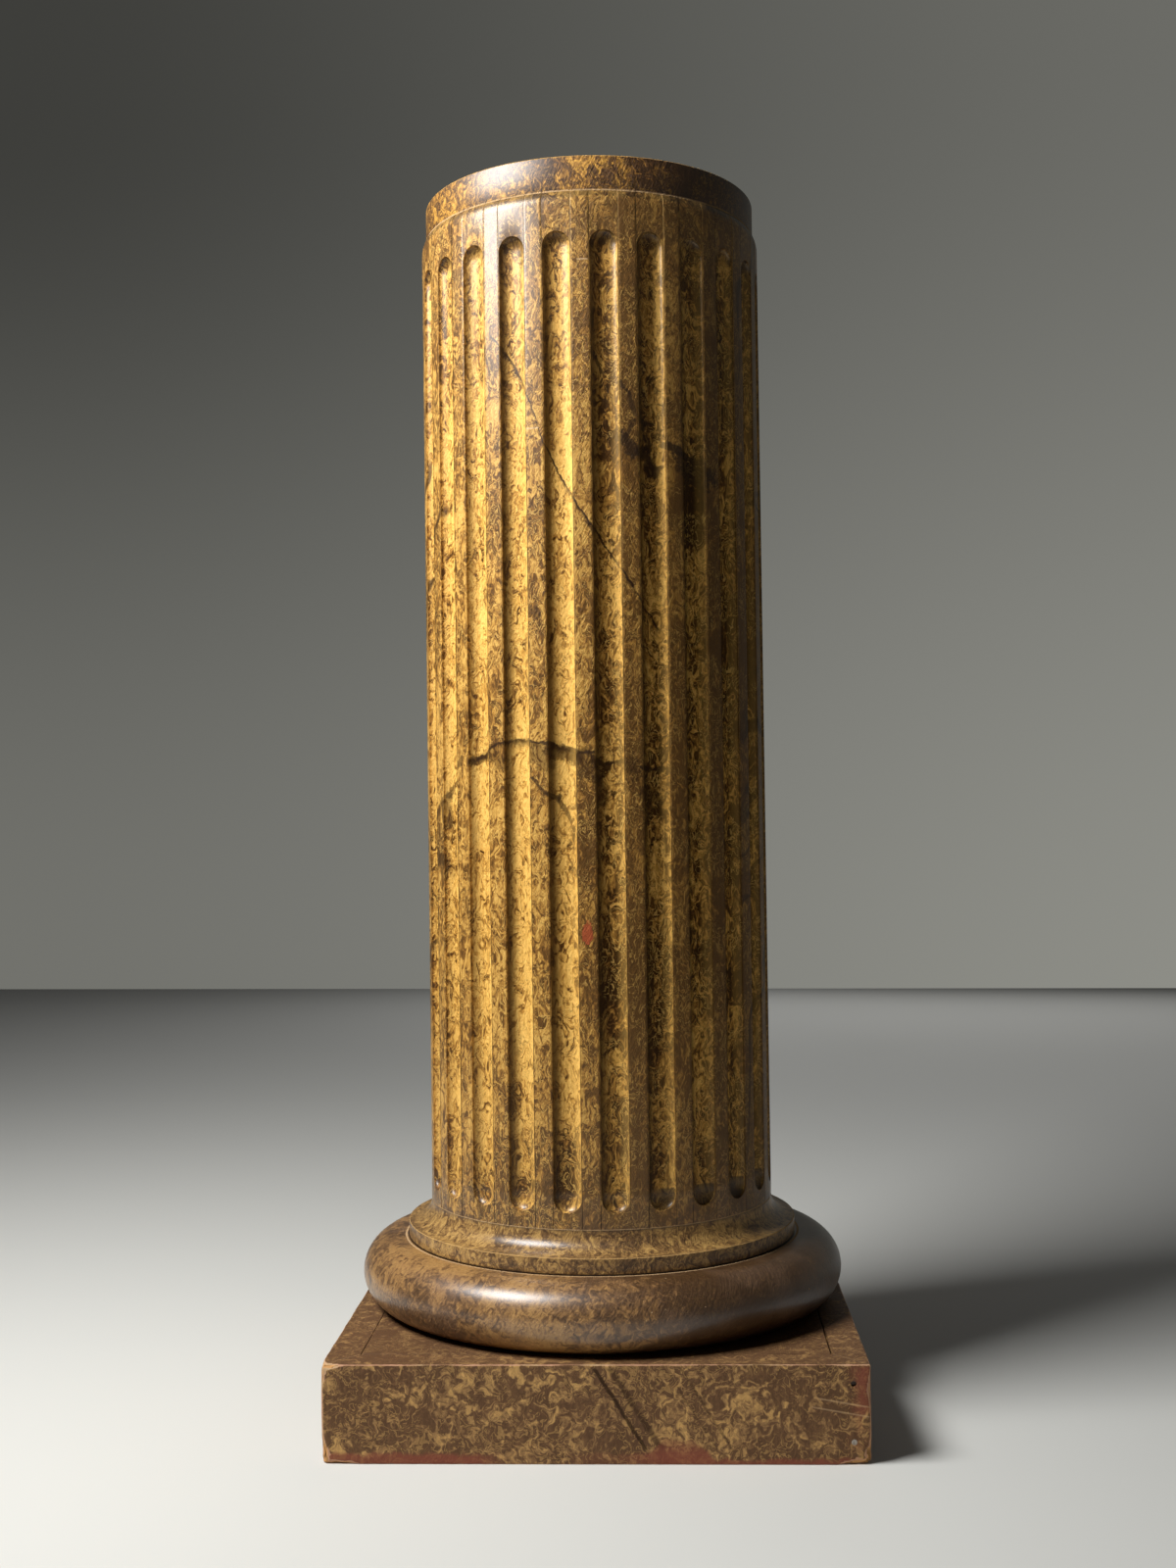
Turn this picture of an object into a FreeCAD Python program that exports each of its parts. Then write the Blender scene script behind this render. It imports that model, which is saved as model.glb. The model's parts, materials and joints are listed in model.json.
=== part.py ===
import FreeCAD, Part
import math
import os

from FreeCAD import Vector

# Pedestal column: a coopered and fluted shaft on two turned mouldings and a square boarded plinth.
# Millimetres, +Z up. The origin is the centre of the plinth's underside, and the plinth's front faces -Y.

# ---- Plinth ----
PLINTH_HEIGHT = 80.0
PLINTH_MARGIN = 1.5  # how far the plinth's sides stand outside the torus
BOARD_THICKNESS = 28.0
BOARD_ARRIS = 1.5  # rounding of the boards' outer edges
PANEL_THICKNESS = 20.0
PANEL_GAP = 0.4  # all round, between the panel and the boards
BLOCK_LEG = 44.0  # short sides of the triangular glue blocks
BLOCK_FOOT_GAP = 6.0  # keeps the glue blocks off the floor

# ---- Turned mouldings ----
TORUS_TUBE_RADIUS = 30.0
TORUS_PROJECTION = 12.0  # from the foot moulding's fillet out to the torus tube's centre
FILLET_HEIGHT = 14.0
FILLET_PROJECTION = 21.0  # from the shaft's surface out to the fillet
CAVETTO_HEIGHT = 18.5
CAVETTO_LEDGE = 2.5  # flat left between the cavetto and the fillet's edge

# ---- Shaft ----
SHAFT_RADIUS = 157.5
STAVE_LENGTH = 887.5
STAVE_THICKNESS = 25.5  # from the shaft's surface to the stave's flat inner face
SHOULDER_HEIGHT = 12.1  # rounded shoulder at the heads of the staves
SHOULDER_INSET = 4.1
FLUTE_COUNT = 24
FLUTE_WIDTH = 24.4
FLUTE_DEPTH = 7.0
FLUTE_LAND = 0.4  # plain strip between a flute's edge and its stave's joint
FLUTE_FOOT_MARGIN = 14.0  # from the foot of a stave to the flute's lower tip
FLUTE_HEAD_MARGIN = 35.5  # from the head of a stave to the flute's upper tip
FIRST_FLUTE_TURN = 6.5  # degrees from the front face's middle round to the first flute

# ---- Cap and former ----
CAP_HEIGHT = 30.0
CAP_ARRIS = 0.8
SPIGOT_DEPTH = 20.0
FORMER_THICKNESS = 20.0
GLUE_GAP = 0.15  # between the staves' inner faces and the spigot or former

# ---- Fasteners ----
SCREWS_PER_JOINT = 4
SCREW_SHANK_RADIUS = 2.1
SCREW_HEAD_RADIUS = 4.2
SCREW_HEAD_HEIGHT = 3.0
SCREW_TIP_LENGTH = 6.0
SCREW_SLOT_WIDTH = 1.1
SCREW_SLOT_DEPTH = 1.0
COUNTERBORE_RADIUS = 5.5
PANEL_SCREW_BITE = 25.0  # how far a screw goes into the piece it draws up
TORUS_SCREW_WOOD = 24.0  # wood left above the counterbore in the torus moulding
TORUS_SCREW_BITE = 21.0
FOOT_COUNTERBORE = 2.5
FOOT_SCREW_BITE = 15.0
SCREW_EDGE_DISTANCE = 28.0  # from the fillet's edge in to the torus screws
FORMER_EDGE_DISTANCE = 11.0  # from the former's edge in to its screws
NAIL_LENGTH = 40.0
NAIL_SHANK_RADIUS = 1.3
NAIL_HEAD_RADIUS = 2.3
NAIL_HEAD_HEIGHT = 1.2
NAIL_FROM_TOP = 15.5
NAIL_FROM_FOOT = 18.0
UPPER_NAIL_SET = 2.5  # how deep a nail's head is punched below the board's face
LOWER_NAIL_SET = 0.3

# ---- Worked out from the sizes above ----
TORUS_TOP = PLINTH_HEIGHT + 2 * TORUS_TUBE_RADIUS
FILLET_TOP = TORUS_TOP + FILLET_HEIGHT
STAVE_FOOT = FILLET_TOP + CAVETTO_HEIGHT
STAVE_HEAD = STAVE_FOOT + STAVE_LENGTH
FILLET_RADIUS = SHAFT_RADIUS + FILLET_PROJECTION
TORUS_RADIUS = FILLET_RADIUS + TORUS_PROJECTION
PLINTH_HALF = TORUS_RADIUS + TORUS_TUBE_RADIUS + PLINTH_MARGIN
FRAME_INSIDE = PLINTH_HALF - BOARD_THICKNESS
PANEL_UNDERSIDE = PLINTH_HEIGHT - PANEL_THICKNESS
CAP_RADIUS = SHAFT_RADIUS - SHOULDER_INSET
STAVE_APOTHEM = SHAFT_RADIUS - STAVE_THICKNESS
FORMER_RADIUS = STAVE_APOTHEM - GLUE_GAP
FLUTE_PITCH = 360.0 / FLUTE_COUNT
FLUTE_EDGE_DROP = SHAFT_RADIUS - math.sqrt(SHAFT_RADIUS**2 - (FLUTE_WIDTH / 2) ** 2)
FLUTE_CHORD_DEPTH = FLUTE_DEPTH - FLUTE_EDGE_DROP
CUTTER_RADIUS = ((FLUTE_WIDTH / 2) ** 2 + FLUTE_CHORD_DEPTH**2) / (2 * FLUTE_CHORD_DEPTH)
CUTTER_AXIS = SHAFT_RADIUS - FLUTE_DEPTH + CUTTER_RADIUS
FLUTE_TIP_REACH = math.sqrt(CUTTER_RADIUS**2 - (CUTTER_AXIS - SHAFT_RADIUS) ** 2)
FLUTED_HALF_ANGLE = math.degrees(math.asin((FLUTE_WIDTH / 2 + FLUTE_LAND) / SHAFT_RADIUS))
FILLET_HALF_ANGLE = FLUTE_PITCH / 2 - FLUTED_HALF_ANGLE
FRONT = -90.0  # direction of -Y, in degrees from +X
Z_AXIS = Vector(0, 0, 1)
ORIGIN = Vector(0, 0, 0)


def turned(shape, degrees):
    """A copy of the shape, turned about the column's axis."""
    copy = shape.copy()
    copy.rotate(ORIGIN, Z_AXIS, degrees)
    return copy


def section(*edges):
    """A face in the XZ plane from its edges in order."""
    return Part.Face(Part.Wire(edges))


def line(start, end):
    """A straight edge between two (radius, height) points."""
    return Part.LineSegment(Vector(start[0], 0, start[1]), Vector(end[0], 0, end[1])).toShape()


def arc(start, middle, end):
    """A round edge through three (radius, height) points."""
    points = [Vector(radius, 0, height) for radius, height in (start, middle, end)]
    return Part.Arc(*points).toShape()


def lathe(face, degrees=360.0):
    """The solid that a section makes when it is turned about the Z axis, half to each side of XZ."""
    return turned(face, -degrees / 2).revolve(ORIGIN, Z_AXIS, degrees)


def shoulder_arc():
    """The rounded shoulder of a stave, upright where it starts."""
    radius = (SHOULDER_INSET**2 + SHOULDER_HEIGHT**2) / (2 * SHOULDER_INSET)
    sweep = math.asin(SHOULDER_HEIGHT / radius) / 2
    start = (SHAFT_RADIUS, STAVE_HEAD - SHOULDER_HEIGHT)
    middle = (start[0] - radius * (1 - math.cos(sweep)), start[1] + radius * math.sin(sweep))
    return arc(start, middle, (CAP_RADIUS, STAVE_HEAD))


def stave_blank(half_angle):
    """A bevelled stave facing +X, round outside and flat inside."""
    inner = STAVE_APOTHEM - STAVE_THICKNESS / 4
    foot_in = (inner, STAVE_FOOT)
    foot_out = (SHAFT_RADIUS, STAVE_FOOT)
    shoulder = (SHAFT_RADIUS, STAVE_HEAD - SHOULDER_HEIGHT)
    head_out = (CAP_RADIUS, STAVE_HEAD)
    head_in = (inner, STAVE_HEAD)
    profile = section(
        line(foot_in, foot_out),
        line(foot_out, shoulder),
        shoulder_arc(),
        line(head_out, head_in),
        line(head_in, foot_in),
    )
    core = Part.makeBox(
        STAVE_APOTHEM, 2 * SHAFT_RADIUS, STAVE_LENGTH, Vector(0, -SHAFT_RADIUS, STAVE_FOOT)
    )
    return lathe(profile, 2 * half_angle).cut(core)


def flute_cutter():
    """The space that a ball-nosed cutter clears, along a stave facing +X."""
    lower = STAVE_FOOT + FLUTE_FOOT_MARGIN + FLUTE_TIP_REACH
    upper = STAVE_HEAD - FLUTE_HEAD_MARGIN - FLUTE_TIP_REACH
    bend = CUTTER_RADIUS * math.sqrt(0.5)
    bottom = (0, lower - CUTTER_RADIUS)
    top = (0, upper + CUTTER_RADIUS)
    profile = section(
        arc(bottom, (bend, lower - bend), (CUTTER_RADIUS, lower)),
        line((CUTTER_RADIUS, lower), (CUTTER_RADIUS, upper)),
        arc((CUTTER_RADIUS, upper), (bend, upper + bend), top),
        line(top, bottom),
    )
    cutter = lathe(profile)
    cutter.translate(Vector(CUTTER_AXIS, 0, 0))
    return cutter


def staves():
    """Every stave by its node's name: fluted ones, with a plain one after each."""
    fluted = stave_blank(FLUTED_HALF_ANGLE).cut(flute_cutter())
    plain = stave_blank(FILLET_HALF_ANGLE)
    nodes = {}
    for index in range(FLUTE_COUNT):
        direction = FRONT + FIRST_FLUTE_TURN + index * FLUTE_PITCH
        nodes[f"fluted_stave_{index + 1:02d}"] = turned(fluted, direction)
        nodes[f"fillet_stave_{index + 1:02d}"] = turned(plain, direction + FLUTE_PITCH / 2)
    return nodes


def cap_disc():
    """Turned disc with an eased top edge and a spigot that fills the heads of the staves."""
    top = STAVE_HEAD + CAP_HEIGHT
    spigot_foot = STAVE_HEAD - SPIGOT_DEPTH
    bend = CAP_ARRIS * (1 - math.sqrt(0.5))
    profile = section(
        line((0, spigot_foot), (FORMER_RADIUS, spigot_foot)),
        line((FORMER_RADIUS, spigot_foot), (FORMER_RADIUS, STAVE_HEAD)),
        line((FORMER_RADIUS, STAVE_HEAD), (CAP_RADIUS, STAVE_HEAD)),
        line((CAP_RADIUS, STAVE_HEAD), (CAP_RADIUS, top - CAP_ARRIS)),
        arc((CAP_RADIUS, top - CAP_ARRIS), (CAP_RADIUS - bend, top - bend), (CAP_RADIUS - CAP_ARRIS, top)),
        line((CAP_RADIUS - CAP_ARRIS, top), (0, top)),
        line((0, top), (0, spigot_foot)),
    )
    return lathe(profile)


def lower_former(screws):
    """Disc that the feet of the staves close round."""
    return Part.makeCylinder(FORMER_RADIUS, FORMER_THICKNESS, Vector(0, 0, STAVE_FOOT)).cut(screws)


def foot_moulding(screws):
    """Turned disc with a fillet and a cavetto that runs up into the shaft."""
    hollow = FILLET_PROJECTION - CAVETTO_LEDGE
    bend = math.sqrt(0.5)
    top = (SHAFT_RADIUS, STAVE_FOOT)
    middle = (SHAFT_RADIUS + hollow * (1 - bend), STAVE_FOOT - CAVETTO_HEIGHT * bend)
    ledge = (SHAFT_RADIUS + hollow, FILLET_TOP)
    profile = section(
        line((0, TORUS_TOP), (FILLET_RADIUS, TORUS_TOP)),
        line((FILLET_RADIUS, TORUS_TOP), (FILLET_RADIUS, FILLET_TOP)),
        line((FILLET_RADIUS, FILLET_TOP), ledge),
        arc(ledge, middle, top),
        line(top, (0, STAVE_FOOT)),
        line((0, STAVE_FOOT), (0, TORUS_TOP)),
    )
    return lathe(profile).cut(screws)


def torus_moulding(screws):
    """Turned disc with a half-round edge."""
    middle = (TORUS_RADIUS + TORUS_TUBE_RADIUS, PLINTH_HEIGHT + TORUS_TUBE_RADIUS)
    profile = section(
        line((0, PLINTH_HEIGHT), (TORUS_RADIUS, PLINTH_HEIGHT)),
        arc((TORUS_RADIUS, PLINTH_HEIGHT), middle, (TORUS_RADIUS, TORUS_TOP)),
        line((TORUS_RADIUS, TORUS_TOP), (0, TORUS_TOP)),
        line((0, TORUS_TOP), (0, PLINTH_HEIGHT)),
    )
    return lathe(profile).cut(screws)


def plinth_boards(nails):
    """Four mitred boards by their nodes' names, with their outer edges eased and the nail holes made."""
    side = 2 * PLINTH_HALF
    block = Part.makeBox(side, side, PLINTH_HEIGHT, Vector(-PLINTH_HALF, -PLINTH_HALF, 0))
    eased = [edge for edge in block.Edges if edge.BoundBox.ZMax > PLINTH_HEIGHT / 2]
    hollow = Part.makeBox(
        2 * FRAME_INSIDE, 2 * FRAME_INSIDE, PLINTH_HEIGHT, Vector(-FRAME_INSIDE, -FRAME_INSIDE, 0)
    )
    frame = block.makeFillet(BOARD_ARRIS, eased).cut(hollow)
    corners = [ORIGIN, Vector(-side, -side, 0), Vector(side, -side, 0), ORIGIN]
    mitre = Part.Face(Part.makePolygon(corners)).extrude(Vector(0, 0, PLINTH_HEIGHT))
    nodes = {}
    for quarter, name in enumerate(("front", "right", "back", "left")):
        board = frame.common(turned(mitre, 90 * quarter))
        nodes[f"plinth_{name}_board"] = board.cut(nails)
    return nodes


def plinth_top_panel(screws):
    """Panel let in flush between the boards, on the glue blocks."""
    half = FRAME_INSIDE - PANEL_GAP
    panel = Part.makeBox(2 * half, 2 * half, PANEL_THICKNESS, Vector(-half, -half, PANEL_UNDERSIDE))
    return panel.cut(screws)


def corner_glue_blocks():
    """Four triangular blocks, one in each corner of the plinth's frame."""
    inside = FRAME_INSIDE
    corners = [
        Vector(inside, inside, BLOCK_FOOT_GAP),
        Vector(inside - BLOCK_LEG, inside, BLOCK_FOOT_GAP),
        Vector(inside, inside - BLOCK_LEG, BLOCK_FOOT_GAP),
        Vector(inside, inside, BLOCK_FOOT_GAP),
    ]
    rise = Vector(0, 0, PANEL_UNDERSIDE - BLOCK_FOOT_GAP)
    block = Part.Face(Part.makePolygon(corners)).extrude(rise)
    return Part.Compound([turned(block, 90 * quarter) for quarter in range(4)])


def wood_screw(length):
    """A slotted countersunk screw standing on its head at the origin, pointing up."""
    profile = section(
        line((0, 0), (SCREW_HEAD_RADIUS, 0)),
        line((SCREW_HEAD_RADIUS, 0), (SCREW_SHANK_RADIUS, SCREW_HEAD_HEIGHT)),
        line((SCREW_SHANK_RADIUS, SCREW_HEAD_HEIGHT), (SCREW_SHANK_RADIUS, length - SCREW_TIP_LENGTH)),
        line((SCREW_SHANK_RADIUS, length - SCREW_TIP_LENGTH), (0, length)),
        line((0, length), (0, 0)),
    )
    return lathe(profile)


def screw_slot():
    """The driver slot across the head of a screw at the origin."""
    across = 2 * SCREW_HEAD_RADIUS
    corner = Vector(-SCREW_HEAD_RADIUS, -SCREW_SLOT_WIDTH / 2, 0)
    return Part.makeBox(across, SCREW_SLOT_WIDTH, SCREW_SLOT_DEPTH, corner)


def ring_of(shape, radius, height, first_turn):
    """Copies of a shape at the origin, evenly round a circle."""
    raised = shape.copy()
    raised.translate(Vector(radius, 0, height))
    return [turned(raised, first_turn + index * 360.0 / SCREWS_PER_JOINT) for index in range(SCREWS_PER_JOINT)]


def screwed_joint(radius, first_turn, underside, head, length):
    """The screws of one joint, and the holes they need: each a screw's shape over its counterbore."""
    screw = wood_screw(length)
    hole = screw
    if head > underside:
        bore = Part.makeCylinder(COUNTERBORE_RADIUS, head - underside, Vector(0, 0, underside - head))
        hole = screw.fuse(bore)
    screws = ring_of(screw.cut(screw_slot()), radius, head, first_turn)
    return screws, ring_of(hole, radius, head, first_turn)


def screws_and_holes():
    """All wood screws, and the solids that cut their holes, joint by joint from the plinth up."""
    torus_circle = FILLET_RADIUS - SCREW_EDGE_DISTANCE
    former_circle = FORMER_RADIUS - FORMER_EDGE_DISTANCE
    half_step = 180.0 / SCREWS_PER_JOINT
    torus_head = TORUS_TOP - TORUS_SCREW_WOOD
    foot_head = TORUS_TOP + FOOT_COUNTERBORE
    joints = (
        screwed_joint(
            torus_circle, half_step, PANEL_UNDERSIDE, PANEL_UNDERSIDE, PANEL_THICKNESS + PANEL_SCREW_BITE
        ),
        screwed_joint(torus_circle, 0, PLINTH_HEIGHT, torus_head, TORUS_SCREW_WOOD + TORUS_SCREW_BITE),
        screwed_joint(
            former_circle, half_step, TORUS_TOP, foot_head, STAVE_FOOT + FOOT_SCREW_BITE - foot_head
        ),
    )
    screws = [screw for made, _ in joints for screw in made]
    holes = [hole for _, made in joints for hole in made]
    return screws, holes


def nails_and_holes():
    """Two nails through the right end of each board, and the punched holes they sit in."""
    head = Part.makeCylinder(NAIL_HEAD_RADIUS, NAIL_HEAD_HEIGHT)
    nail = head.fuse(Part.makeCylinder(NAIL_SHANK_RADIUS, NAIL_LENGTH))
    nail.rotate(ORIGIN, Vector(1, 0, 0), -90)
    across = PLINTH_HALF - BOARD_THICKNESS / 2
    nails = []
    holes = []
    for height, depth in ((NAIL_FROM_FOOT, LOWER_NAIL_SET), (PLINTH_HEIGHT - NAIL_FROM_TOP, UPPER_NAIL_SET)):
        punched = Part.makeCylinder(NAIL_HEAD_RADIUS, depth, Vector(across, -PLINTH_HALF, height), Vector(0, 1, 0))
        placed = nail.copy()
        placed.translate(Vector(across, depth - PLINTH_HALF, height))
        for quarter in range(4):
            nails.append(turned(placed, 90 * quarter))
            holes.append(turned(placed.fuse(punched), 90 * quarter))
    return nails, holes


def build():
    """Every piece of the column by its node's name."""
    screws, screw_holes = screws_and_holes()
    nails, nail_holes = nails_and_holes()
    nodes = {
        "cap_disc": cap_disc(),
        "lower_former": lower_former(screw_holes),
        "foot_moulding": foot_moulding(screw_holes),
        "torus_moulding": torus_moulding(screw_holes),
        "plinth_top_panel": plinth_top_panel(screw_holes),
        "corner_glue_blocks": corner_glue_blocks(),
        "wood_screws": Part.Compound(screws),
        "plinth_nails": Part.Compound(nails),
    }
    nodes.update(plinth_boards(nail_holes))
    nodes.update(staves())
    return nodes


os.makedirs("parts", exist_ok=True)
for node, shape in build().items():
    shape.exportStep(f"parts/{node}.step")
    print(f"{node:20s} {len(shape.Solids):3d} solids {shape.Volume / 1000:9.1f} cm3  valid {shape.isValid()}")
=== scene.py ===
"""Looks of a pedestal column: a coopered, fluted shaft on turned mouldings and a boarded plinth, painted as marble.

Every length is in metres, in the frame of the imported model: +Z up, the plinth's front towards -Y.
"""
from __future__ import annotations

import json
import logging
import math
import random
from dataclasses import dataclass, field
from enum import Enum

import bmesh
import bpy
from mathutils import Matrix, Vector, noise

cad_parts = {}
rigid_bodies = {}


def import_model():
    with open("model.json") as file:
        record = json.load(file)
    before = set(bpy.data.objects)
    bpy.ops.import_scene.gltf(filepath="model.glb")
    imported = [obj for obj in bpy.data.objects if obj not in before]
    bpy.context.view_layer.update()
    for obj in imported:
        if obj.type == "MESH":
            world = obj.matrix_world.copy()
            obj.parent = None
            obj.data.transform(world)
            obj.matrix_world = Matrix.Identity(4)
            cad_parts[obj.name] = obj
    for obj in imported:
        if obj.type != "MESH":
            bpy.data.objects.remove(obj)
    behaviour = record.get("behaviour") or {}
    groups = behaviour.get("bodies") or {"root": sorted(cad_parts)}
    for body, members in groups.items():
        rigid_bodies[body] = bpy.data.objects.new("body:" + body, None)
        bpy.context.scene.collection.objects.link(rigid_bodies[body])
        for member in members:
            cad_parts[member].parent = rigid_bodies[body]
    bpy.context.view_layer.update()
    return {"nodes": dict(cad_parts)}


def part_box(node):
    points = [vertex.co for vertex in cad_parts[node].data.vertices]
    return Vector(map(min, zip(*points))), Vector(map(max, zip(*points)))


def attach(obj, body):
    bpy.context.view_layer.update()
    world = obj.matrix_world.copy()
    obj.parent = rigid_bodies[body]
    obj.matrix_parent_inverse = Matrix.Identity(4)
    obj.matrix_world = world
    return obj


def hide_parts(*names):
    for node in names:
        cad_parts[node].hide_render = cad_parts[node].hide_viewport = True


LOG = logging.getLogger("column")
BODY = "root"
MM = 0.001
MERGE_DISTANCE = 1e-6
END_CLEAR = 9 * MM
# an edge is hard where its faces meet at more than this, in radians
SHARP = 0.6

# the part of a painted band that is at full strength
BAND_CORE = 0.4
NOISE_MIDDLE = 0.5
NEVER_ZERO = 0.00001
# how far a degree reaches round the shaft, and about how many degrees a metre takes there
METRES_PER_DEGREE = 0.0027
DEGREES_PER_METRE = 370.0
SEAM_BITE, SEAM_GRAIN = 0.72, 120.0
SCRATCH_HALF = 0.0009
# how strong the dark creases are beside the light ones
FOLD_SHARE = 0.6

Colour = tuple[float, float, float]
Point = tuple[float, float]
Place = tuple[float, float, float]


class Slot(Enum):
    """The record's material slots that this file names."""

    PAINT = "marbled_paint"
    SOFTWOOD = "bare_softwood"


# ---------------------------------------------------------------- shader graphs


class Value:
    """A socket of a graph. Arithmetic on it adds the nodes that work the result out."""

    def __init__(self, graph: Graph, socket: bpy.types.NodeSocket) -> None:
        """Ties a socket to its graph."""
        self.graph = graph
        self.socket = socket

    def __add__(self, other: Scalar) -> Value:
        """The sum."""
        return self.graph.math("ADD", self, other)

    def __radd__(self, other: float) -> Value:
        """The sum, with a plain number first."""
        return self.graph.math("ADD", other, self)

    def __sub__(self, other: Scalar) -> Value:
        """The difference."""
        return self.graph.math("SUBTRACT", self, other)

    def __rsub__(self, other: float) -> Value:
        """The difference from a plain number."""
        return self.graph.math("SUBTRACT", other, self)

    def __mul__(self, other: Scalar) -> Value:
        """The product."""
        return self.graph.math("MULTIPLY", self, other)

    def __truediv__(self, other: Scalar) -> Value:
        """The quotient."""
        return self.graph.math("DIVIDE", self, other)

    def __mod__(self, other: float) -> Value:
        """What a division leaves over."""
        return self.graph.math("MODULO", self, other)

    def __pow__(self, other: float) -> Value:
        """The power."""
        return self.graph.math("POWER", self, other)

    def __abs__(self) -> Value:
        """The value without its sign."""
        return self.graph.math("ABSOLUTE", self)

    def larger(self, other: Scalar) -> Value:
        """Whichever of two values is larger."""
        return self.graph.math("MAXIMUM", self, other)

    def smaller(self, other: Scalar) -> Value:
        """Whichever of two values is smaller."""
        return self.graph.math("MINIMUM", self, other)

    def step(self, low: float, high: float, top: float = 1.0) -> Value:
        """A smooth step from 0 at low to top at high; low may be the larger."""
        made = self.graph.node("ShaderNodeMapRange", interpolation_type="SMOOTHSTEP")
        start, end, first, last = (low, high, 0.0, top) if low < high else (high, low, top, 0.0)
        names = ("Value", "From Min", "From Max", "To Min", "To Max")
        for name, amount in zip(names, (self, start, end, first, last)):
            self.graph.feed(made.inputs[name], amount)
        return Value(self.graph, made.outputs[0])

    def span(self, low: float, high: float) -> Value:
        """A mask from 0 to 1 spread between two values."""
        made = self.graph.node("ShaderNodeMapRange")
        for name, amount in (("Value", self), ("To Min", low), ("To Max", high)):
            self.graph.feed(made.inputs[name], amount)
        return Value(self.graph, made.outputs[0])

    def near(self, centre: float, half: float) -> Value:
        """A mask that is 1 close to a centre and fades out at half its width from it."""
        return abs(self - centre).step(half, half * BAND_CORE)

    def mix(self, under: Tint, over: Tint) -> Value:
        """One colour laid over another where this mask is strong."""
        made = self.graph.node("ShaderNodeMix", data_type="RGBA", blend_type="MIX")
        self.graph.feed(made.inputs["Factor"], self)
        self.graph.feed(made.inputs[6], under)
        self.graph.feed(made.inputs[7], over)
        return Value(self.graph, made.outputs[2])


Scalar = Value | float
Tint = Value | Colour


class Graph:
    """A node tree, with short calls for the nodes that the finishes use."""

    def __init__(self, tree: bpy.types.NodeTree) -> None:
        """Starts on an empty tree, which is a material's, a group's or the world's."""
        self.tree = tree
        tree.nodes.clear()

    def node(self, kind: str, **settings: object) -> bpy.types.Node:
        """Adds a node and sets its properties."""
        made = self.tree.nodes.new(kind)
        for name, value in settings.items():
            setattr(made, name, value)
        return made

    def values(self, node: bpy.types.Node) -> dict[str, Value]:
        """A node's outputs by name."""
        return {socket.name: Value(self, socket) for socket in node.outputs}

    def feed(self, socket: bpy.types.NodeSocket, value: object) -> None:
        """Links a value into a socket, or writes a plain one on it."""
        if isinstance(value, Value):
            self.tree.links.new(value.socket, socket)
        elif isinstance(value, tuple) and socket.type == "RGBA":
            socket.default_value = (*value, 1.0)
        else:
            socket.default_value = value

    def math(self, operation: str, first: Scalar, second: Scalar = 0.0, clamp: bool = False) -> Value:
        """One Math node's result."""
        made = self.node("ShaderNodeMath", operation=operation, use_clamp=clamp)
        self.feed(made.inputs[0], first)
        self.feed(made.inputs[1], second)
        return Value(self, made.outputs[0])

    def vector(self, operation: str, first: object, second: object = (0.0, 0.0, 0.0)) -> Value:
        """One Vector Math node's result: a number for a length or a dot product, and else a vector."""
        made = self.node("ShaderNodeVectorMath", operation=operation)
        self.feed(made.inputs[0], first)
        self.feed(made.inputs["Scale" if operation == "SCALE" else 1], second)
        return self.values(made)["Value" if operation in ("DOT_PRODUCT", "LENGTH") else "Vector"]

    def joined(self, *parts: Scalar) -> Value:
        """A vector from its coordinates, of which those left out are 0."""
        made = self.node("ShaderNodeCombineXYZ")
        for socket, part in zip(made.inputs, parts):
            self.feed(socket, part)
        return Value(self, made.outputs[0])

    def axes(self, vector: Value) -> tuple[Value, ...]:
        """A vector's three coordinates."""
        made = self.node("ShaderNodeSeparateXYZ")
        self.feed(made.inputs[0], vector)
        return tuple(Value(self, socket) for socket in made.outputs)

    def grains(
        self, place: Value, scale: Scalar, detail: float = 3.0, rough: float = 0.6, bend: float = 0.0,
        output: str = "Fac",
    ) -> Value:
        """One output of a Noise Texture."""
        made = self.node("ShaderNodeTexNoise")
        names = ("Vector", "Scale", "Detail", "Roughness", "Distortion")
        for name, value in zip(names, (place, scale, detail, rough, bend)):
            self.feed(made.inputs[name], value)
        return self.values(made)[output]

    def swing(self, place: Value, scale: Scalar, detail: float = 3.0, rough: float = 0.6, bend: float = 0.0) -> Value:
        """A noise that swings to both sides of 0."""
        return self.grains(place, scale, detail, rough, bend) - NOISE_MIDDLE

    def ramp(self, value: Value, stops: list[tuple[float, Colour]]) -> Value:
        """A colour ramp through the stops."""
        made = self.node("ShaderNodeValToRGB")
        band = made.color_ramp
        for index, (place, colour) in enumerate(stops):
            stop = band.elements[index] if index < 2 else band.elements.new(place)
            stop.position = place
            stop.color = (*colour, 1.0)
        self.feed(made.inputs[0], value)
        return Value(self, made.outputs[0])

    def curve(self, value: Value, points: list[Point]) -> Value:
        """A Float Curve through points with both coordinates from 0 to 1."""
        made = self.node("ShaderNodeFloatCurve")
        line = made.mapping.curves[0]
        for index, point in enumerate(points):
            if index < 2:
                line.points[index].location = point
            else:
                line.points.new(*point)
        made.mapping.update()
        self.feed(made.inputs["Value"], value)
        return Value(self, made.outputs[0])

    def group(self, kind: bpy.types.NodeTree, **inputs: object) -> dict[str, Value]:
        """Places a node group, with an input's name given with _ for each space, and gives its outputs by name."""
        made = self.node("ShaderNodeGroup")
        made.node_tree = kind
        for name, value in inputs.items():
            self.feed(made.inputs[name.replace("_", " ").capitalize()], value)
        return self.values(made)

    def place(self) -> Value:
        """The point being shaded, in metres in the model's frame."""
        return self.values(self.node("ShaderNodeTexCoord"))["Object"]

    def mark(self, name: str) -> Value:
        """A value that the mesh holds, such as where an arris is."""
        return self.values(self.node("ShaderNodeAttribute", attribute_name=name))["Fac"]

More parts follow.
